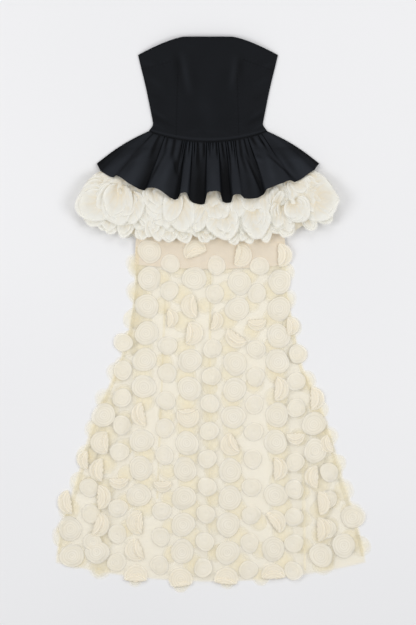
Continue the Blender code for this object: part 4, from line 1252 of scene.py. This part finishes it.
def petals(name, table, seed, layer, foot, squash=1.0, rows=12, columns=21):
    """The petals over a layer's foot, kept under the peplum and just above the layer below."""
    px, py, z, u, v = petal_layers(table, seed, rows, columns)
    z = level(layer, py) + foot + np.clip(z * squash, 0.2, None)
    hidden = 1 - smooth_step(py - peplum_hem_drop(px), -2, 10)
    side = np.clip(np.abs(px) / peplum_half(py), 0, 1)
    ceiling = PEPLUM_WALL + (level("peplum", py) - PEPLUM_WALL) * (1 - side ** SIDE_POWER) - 1.5
    z = np.where(z > ceiling, z + (np.maximum(ceiling, 0.6) - z) * hidden, z)
    face_sides = together(px, py, z + PETAL_WALL)[:, :, ::-1]
    uv = together(u[0], 0.5 + v[0] / 2)
    return add_shells(name, face_sides, face_sides - (0, 0, PETAL_WALL), PETAL_CLOTH, uv)


UNDER_ROWS = (  # drop of the roots in the middle, rise at the ends, half width, length, height, number
    (462, 50, 258, 68, 7, 26), (432, 48, 262, 76, 12, 25), (398, 34, 246, 80, 15, 24),
)


def under_petals():
    """Rows of petals along curves, to lie under those of the table; they turn outward to the ends."""
    draw = np.random.default_rng(4)
    rows = []
    for drop, rise, half, length, height, count in UNDER_ROWS:
        share = np.linspace(-1, 1, count)
        chance = draw.uniform(-1, 1, (5, count))
        x = half * share + 5 * chance[0]
        heading = 90 - 66 * share * np.abs(share) ** 1.2 + 20 * chance[1]
        rows.append(together(
            x, drop - rise * share ** 2 + 6 * chance[2], heading, length * (1 + 0.16 * chance[3]),
            34 + 6 * chance[4], height * (1 + 0.3 * chance[1]), 2, 2))
    return np.concatenate(rows)


petals("ruffle_front_petals", FRONT_PETALS, seed=21, layer="ruffle_front", foot=1.5)
petals("ruffle_under_petals", under_petals(), seed=22, layer="ruffle_front", foot=0.9, rows=11, columns=17)

# %% The yoke that the petals are sewn to
YOKE = np.array([  # drop, left, right
    (325, -150, 150), (340, -235, 235), (372, -272, 278), (424, -292, 296), (455, -278, 282),
    (486, -250, 252), (512, -212, 214),
])


def front_yoke():
    """A plain sheet between curved ends, hidden by the petals but for the gaps between them."""
    v, u = shares(40, 90, first=-1)
    drop = YOKE[0, 0] + v * (YOKE[-1, 0] - YOKE[0, 0])
    left, right = table_curve(YOKE, 1, drop, 8), table_curve(YOKE, 2, drop, 8)
    x = (left + right) / 2 + u * (right - left) / 2
    ripple = 0.5 * np.sin(x / 7 + np.sin(drop / 11)) * smooth_step(drop, 330, 380)
    face_side = together(x, drop, level("ruffle_front", drop) + 1.2 + ripple)
    return add_shell("ruffle_front_yoke", face_side, face_side - (0, 0, 0.5), DISC_CLOTH)


front_yoke()

# %% The back of the tier, pressed under the gown
BACK_PETALS = np.array([  # the same columns as the front's, with one side mirrored
    (side * x, drop, 90 + side * turn, length, 32, 3.2, 1, 2)
    for side in (-1, 1)
    for x, drop, turn, length in (
        (285, 405, -80, 46), (262, 380, -55, 70), (278, 430, -50, 48), (232, 440, -30, 74),
        (186, 450, -15, 74), (140, 456, -8, 70), (94, 458, -4, 72), (48, 458, -2, 70), (8, 458, 0, 70),
    )
])
petals("ruffle_back_petals", BACK_PETALS, seed=33, layer="ruffle_back", foot=0.35, squash=0.9,
       rows=10, columns=19)

# %% [markdown]
# ## Floor, light and camera
#
# The gown lies on a white sweep under soft light from both sides and from the head, so the shadows are
# faint and fall on both sides. The camera looks straight down from far away through a long lens, as a
# photographer does to keep the hem and the top edge in proportion.

# %% Floor, light and camera
CAMERA_HEIGHT = 10.0
VIEW_HEIGHT = 1.625
VIEW_MIDDLE = 0.0027
FLOOR_HALF, FLOOR_HEIGHT = 40, -0.0004
LAMP_SIZE = 1.8


def floor():
    """A wide pale plane with a very faint unevenness."""
    material, start, shader = new_finish("white sweep", 0.9, {"Specular IOR Level": 0.1})
    cloud = start.here().noise(1.2, 1.0).clamped(0.3, 0.7)
    connect(shader, Base_Color=cloud.mix(rgb(0.808, 0.808, 0.814), rgb(0.828, 0.828, 0.833)))
    mesh = bpy.data.meshes.new("floor")
    corners = FLOOR_HALF * np.array([(-1, -1, 0), (1, -1, 0), (1, 1, 0), (-1, 1, 0)])
    mesh.from_pydata(corners + (0, 0, FLOOR_HEIGHT), [], [(0, 1, 2, 3)])
    mesh.materials.append(material)
    plane = bpy.data.objects.new("floor", mesh)
    bpy.context.collection.objects.link(plane)


def soft_light(name, location, power):
    """A square lamp that faces the middle of the gown."""
    data = bpy.data.lights.new(name, "AREA")
    data.shape = "SQUARE"
    data.size = LAMP_SIZE
    data.energy = power
    lamp = bpy.data.objects.new(name, data)
    lamp.location = location
    lamp.rotation_mode = "QUATERNION"
    lamp.rotation_quaternion = (-Vector(location)).to_track_quat("-Z", "Y")
    bpy.context.collection.objects.link(lamp)


def camera():
    """Straight down, with the frame's height set by the lens and the distance."""
    data = bpy.data.cameras.new("camera")
    data.sensor_fit = "AUTO"
    data.sensor_width = 36
    data.lens = data.sensor_width * CAMERA_HEIGHT / VIEW_HEIGHT
    data.clip_end = 200
    view = bpy.data.objects.new("camera", data)
    view.location = (CENTRE_LINE, VIEW_MIDDLE, CAMERA_HEIGHT)
    bpy.context.collection.objects.link(view)
    bpy.context.scene.camera = view


floor()
camera()
soft_light("left softbox", (-2.25, 0.1, 2.75), 38)
soft_light("right softbox", (2.25, 0.0, 2.75), 38)
soft_light("head softbox", (0.0, 2.8, 3.0), 26)
world = bpy.data.worlds.new("studio")
world.use_nodes = True
sky = world.node_tree.nodes["Background"].inputs
sky["Color"].default_value = rgb(0.965, 0.968, 0.99)
sky["Strength"].default_value = 0.52
scene = bpy.context.scene
scene.world = world
scene.view_settings.view_transform = "Standard"
scene.cycles.diffuse_bounces = 10
scene.cycles.transparent_max_bounces = 16

# %% [markdown]
# ## Riding and replacing
#
# The gown is one body, so every piece rides on it. Each piece but the zip's coil takes the place of the
# plain solid under it.

# %% Every piece rides on the one body
RIDES = {
    "bodice_front_cloth": ("black_cloth", ("bodice_front",)),
    "bodice_back_left_cloth": ("black_cloth", ("bodice_back_left",)),
    "bodice_back_right_cloth": ("black_cloth", ("bodice_back_right",)),
    "zip_coil": ("zip_tape", ()),
    "peplum_front_cloth": ("black_cloth", ("peplum_front",)),
    "peplum_back_cloth": ("black_cloth", ("peplum_back",)),
    "skirt_front_organza": ("cream_organza", ("skirt_front",)),
    "skirt_seams": ("cream_organza", ("skirt_front",)),
    "skirt_front_discs": ("cream_organza", ("skirt_front",)),
    "skirt_folded_discs": ("cream_organza", ("skirt_front",)),
    "skirt_back_organza": ("cream_organza", ("skirt_back",)),
    "skirt_back_discs": ("cream_organza", ("skirt_back",)),
    "ruffle_front_petals": ("cream_organza", ("ruffle_front",)),
    "ruffle_under_petals": ("cream_organza", ("ruffle_front",)),
    "ruffle_front_yoke": ("cream_organza", ("ruffle_front",)),
    "ruffle_back_petals": ("cream_organza", ("ruffle_back",)),
    "slip_front_lining": ("nude_lining", ("slip_front",)),
    "slip_back_lining": ("nude_lining", ("slip_back",)),
}
for name, (slot, nodes) in RIDES.items():
    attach(PIECES[name], "root")
    if nodes:
        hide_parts(*nodes)

# %% [markdown]
# ## The flat cut of each sheet
#
# Every sheet is listed with the rectangle that it is cut from and the area of its cut. The bodice's
# cut is wider than it lies, because its darts take cloth up. The peplum is a flared strip, gathered to
# two thirds of its upper edge. The skirt's discs and pressed seams lie on its panels, and the petals
# hang from their yokes, so they are named as pieces on those sheets.

# %% The flat cut of each sheet, in metres and square metres
ON_FRONT = ("skirt_front_discs", "skirt_folded_discs", "skirt_seams")
SHEETS = {  # piece: flat width and length, flat area, how it is held, what it rests on, pieces on it
    "bodice_front_cloth": (0.400, 0.275, 0.090, "laid", ("bodice_back_left", "bodice_back_right"), ()),
    "bodice_back_left_cloth": (0.200, 0.255, 0.039, "laid", (), ()),
    "bodice_back_right_cloth": (0.200, 0.255, 0.039, "laid", (), ()),
    "peplum_front_cloth": (0.900, 0.190, 0.090, "gathered", ("peplum_back", "ruffle_front"), ()),
    "peplum_back_cloth": (0.900, 0.190, 0.090, "laid", (), ()),
    "ruffle_front_yoke": (0.590, 0.190, 0.100, "laid", ("skirt_front",),
                          ("ruffle_front_petals", "ruffle_under_petals")),
    "ruffle_back_petals": (0.700, 0.160, 0.105, "laid", (), ()),
    "skirt_front_organza": (0.820, 1.170, 0.600, "laid", ("skirt_back", "slip_front"), ON_FRONT),
    "skirt_back_organza": (0.820, 1.170, 0.590, "laid", (), ("skirt_back_discs",)),
    "slip_front_lining": (0.410, 0.350, 0.118, "laid", ("slip_back",), ()),
    "slip_back_lining": (0.410, 0.350, 0.118, "laid", ("skirt_back",), ()),
}


def shell_area(piece):
    """Half of a closed shell's area, in square metres: the cloth as it lies."""
    areas = np.empty(len(piece.data.polygons))
    piece.data.polygons.foreach_get("area", areas)
    return areas.sum() / 2


for name, (width, length, area, held, under, on_it) in SHEETS.items():
    print(f"{name}: lies in {shell_area(PIECES[name]):.4f} square metres, cut {area:.4f}")
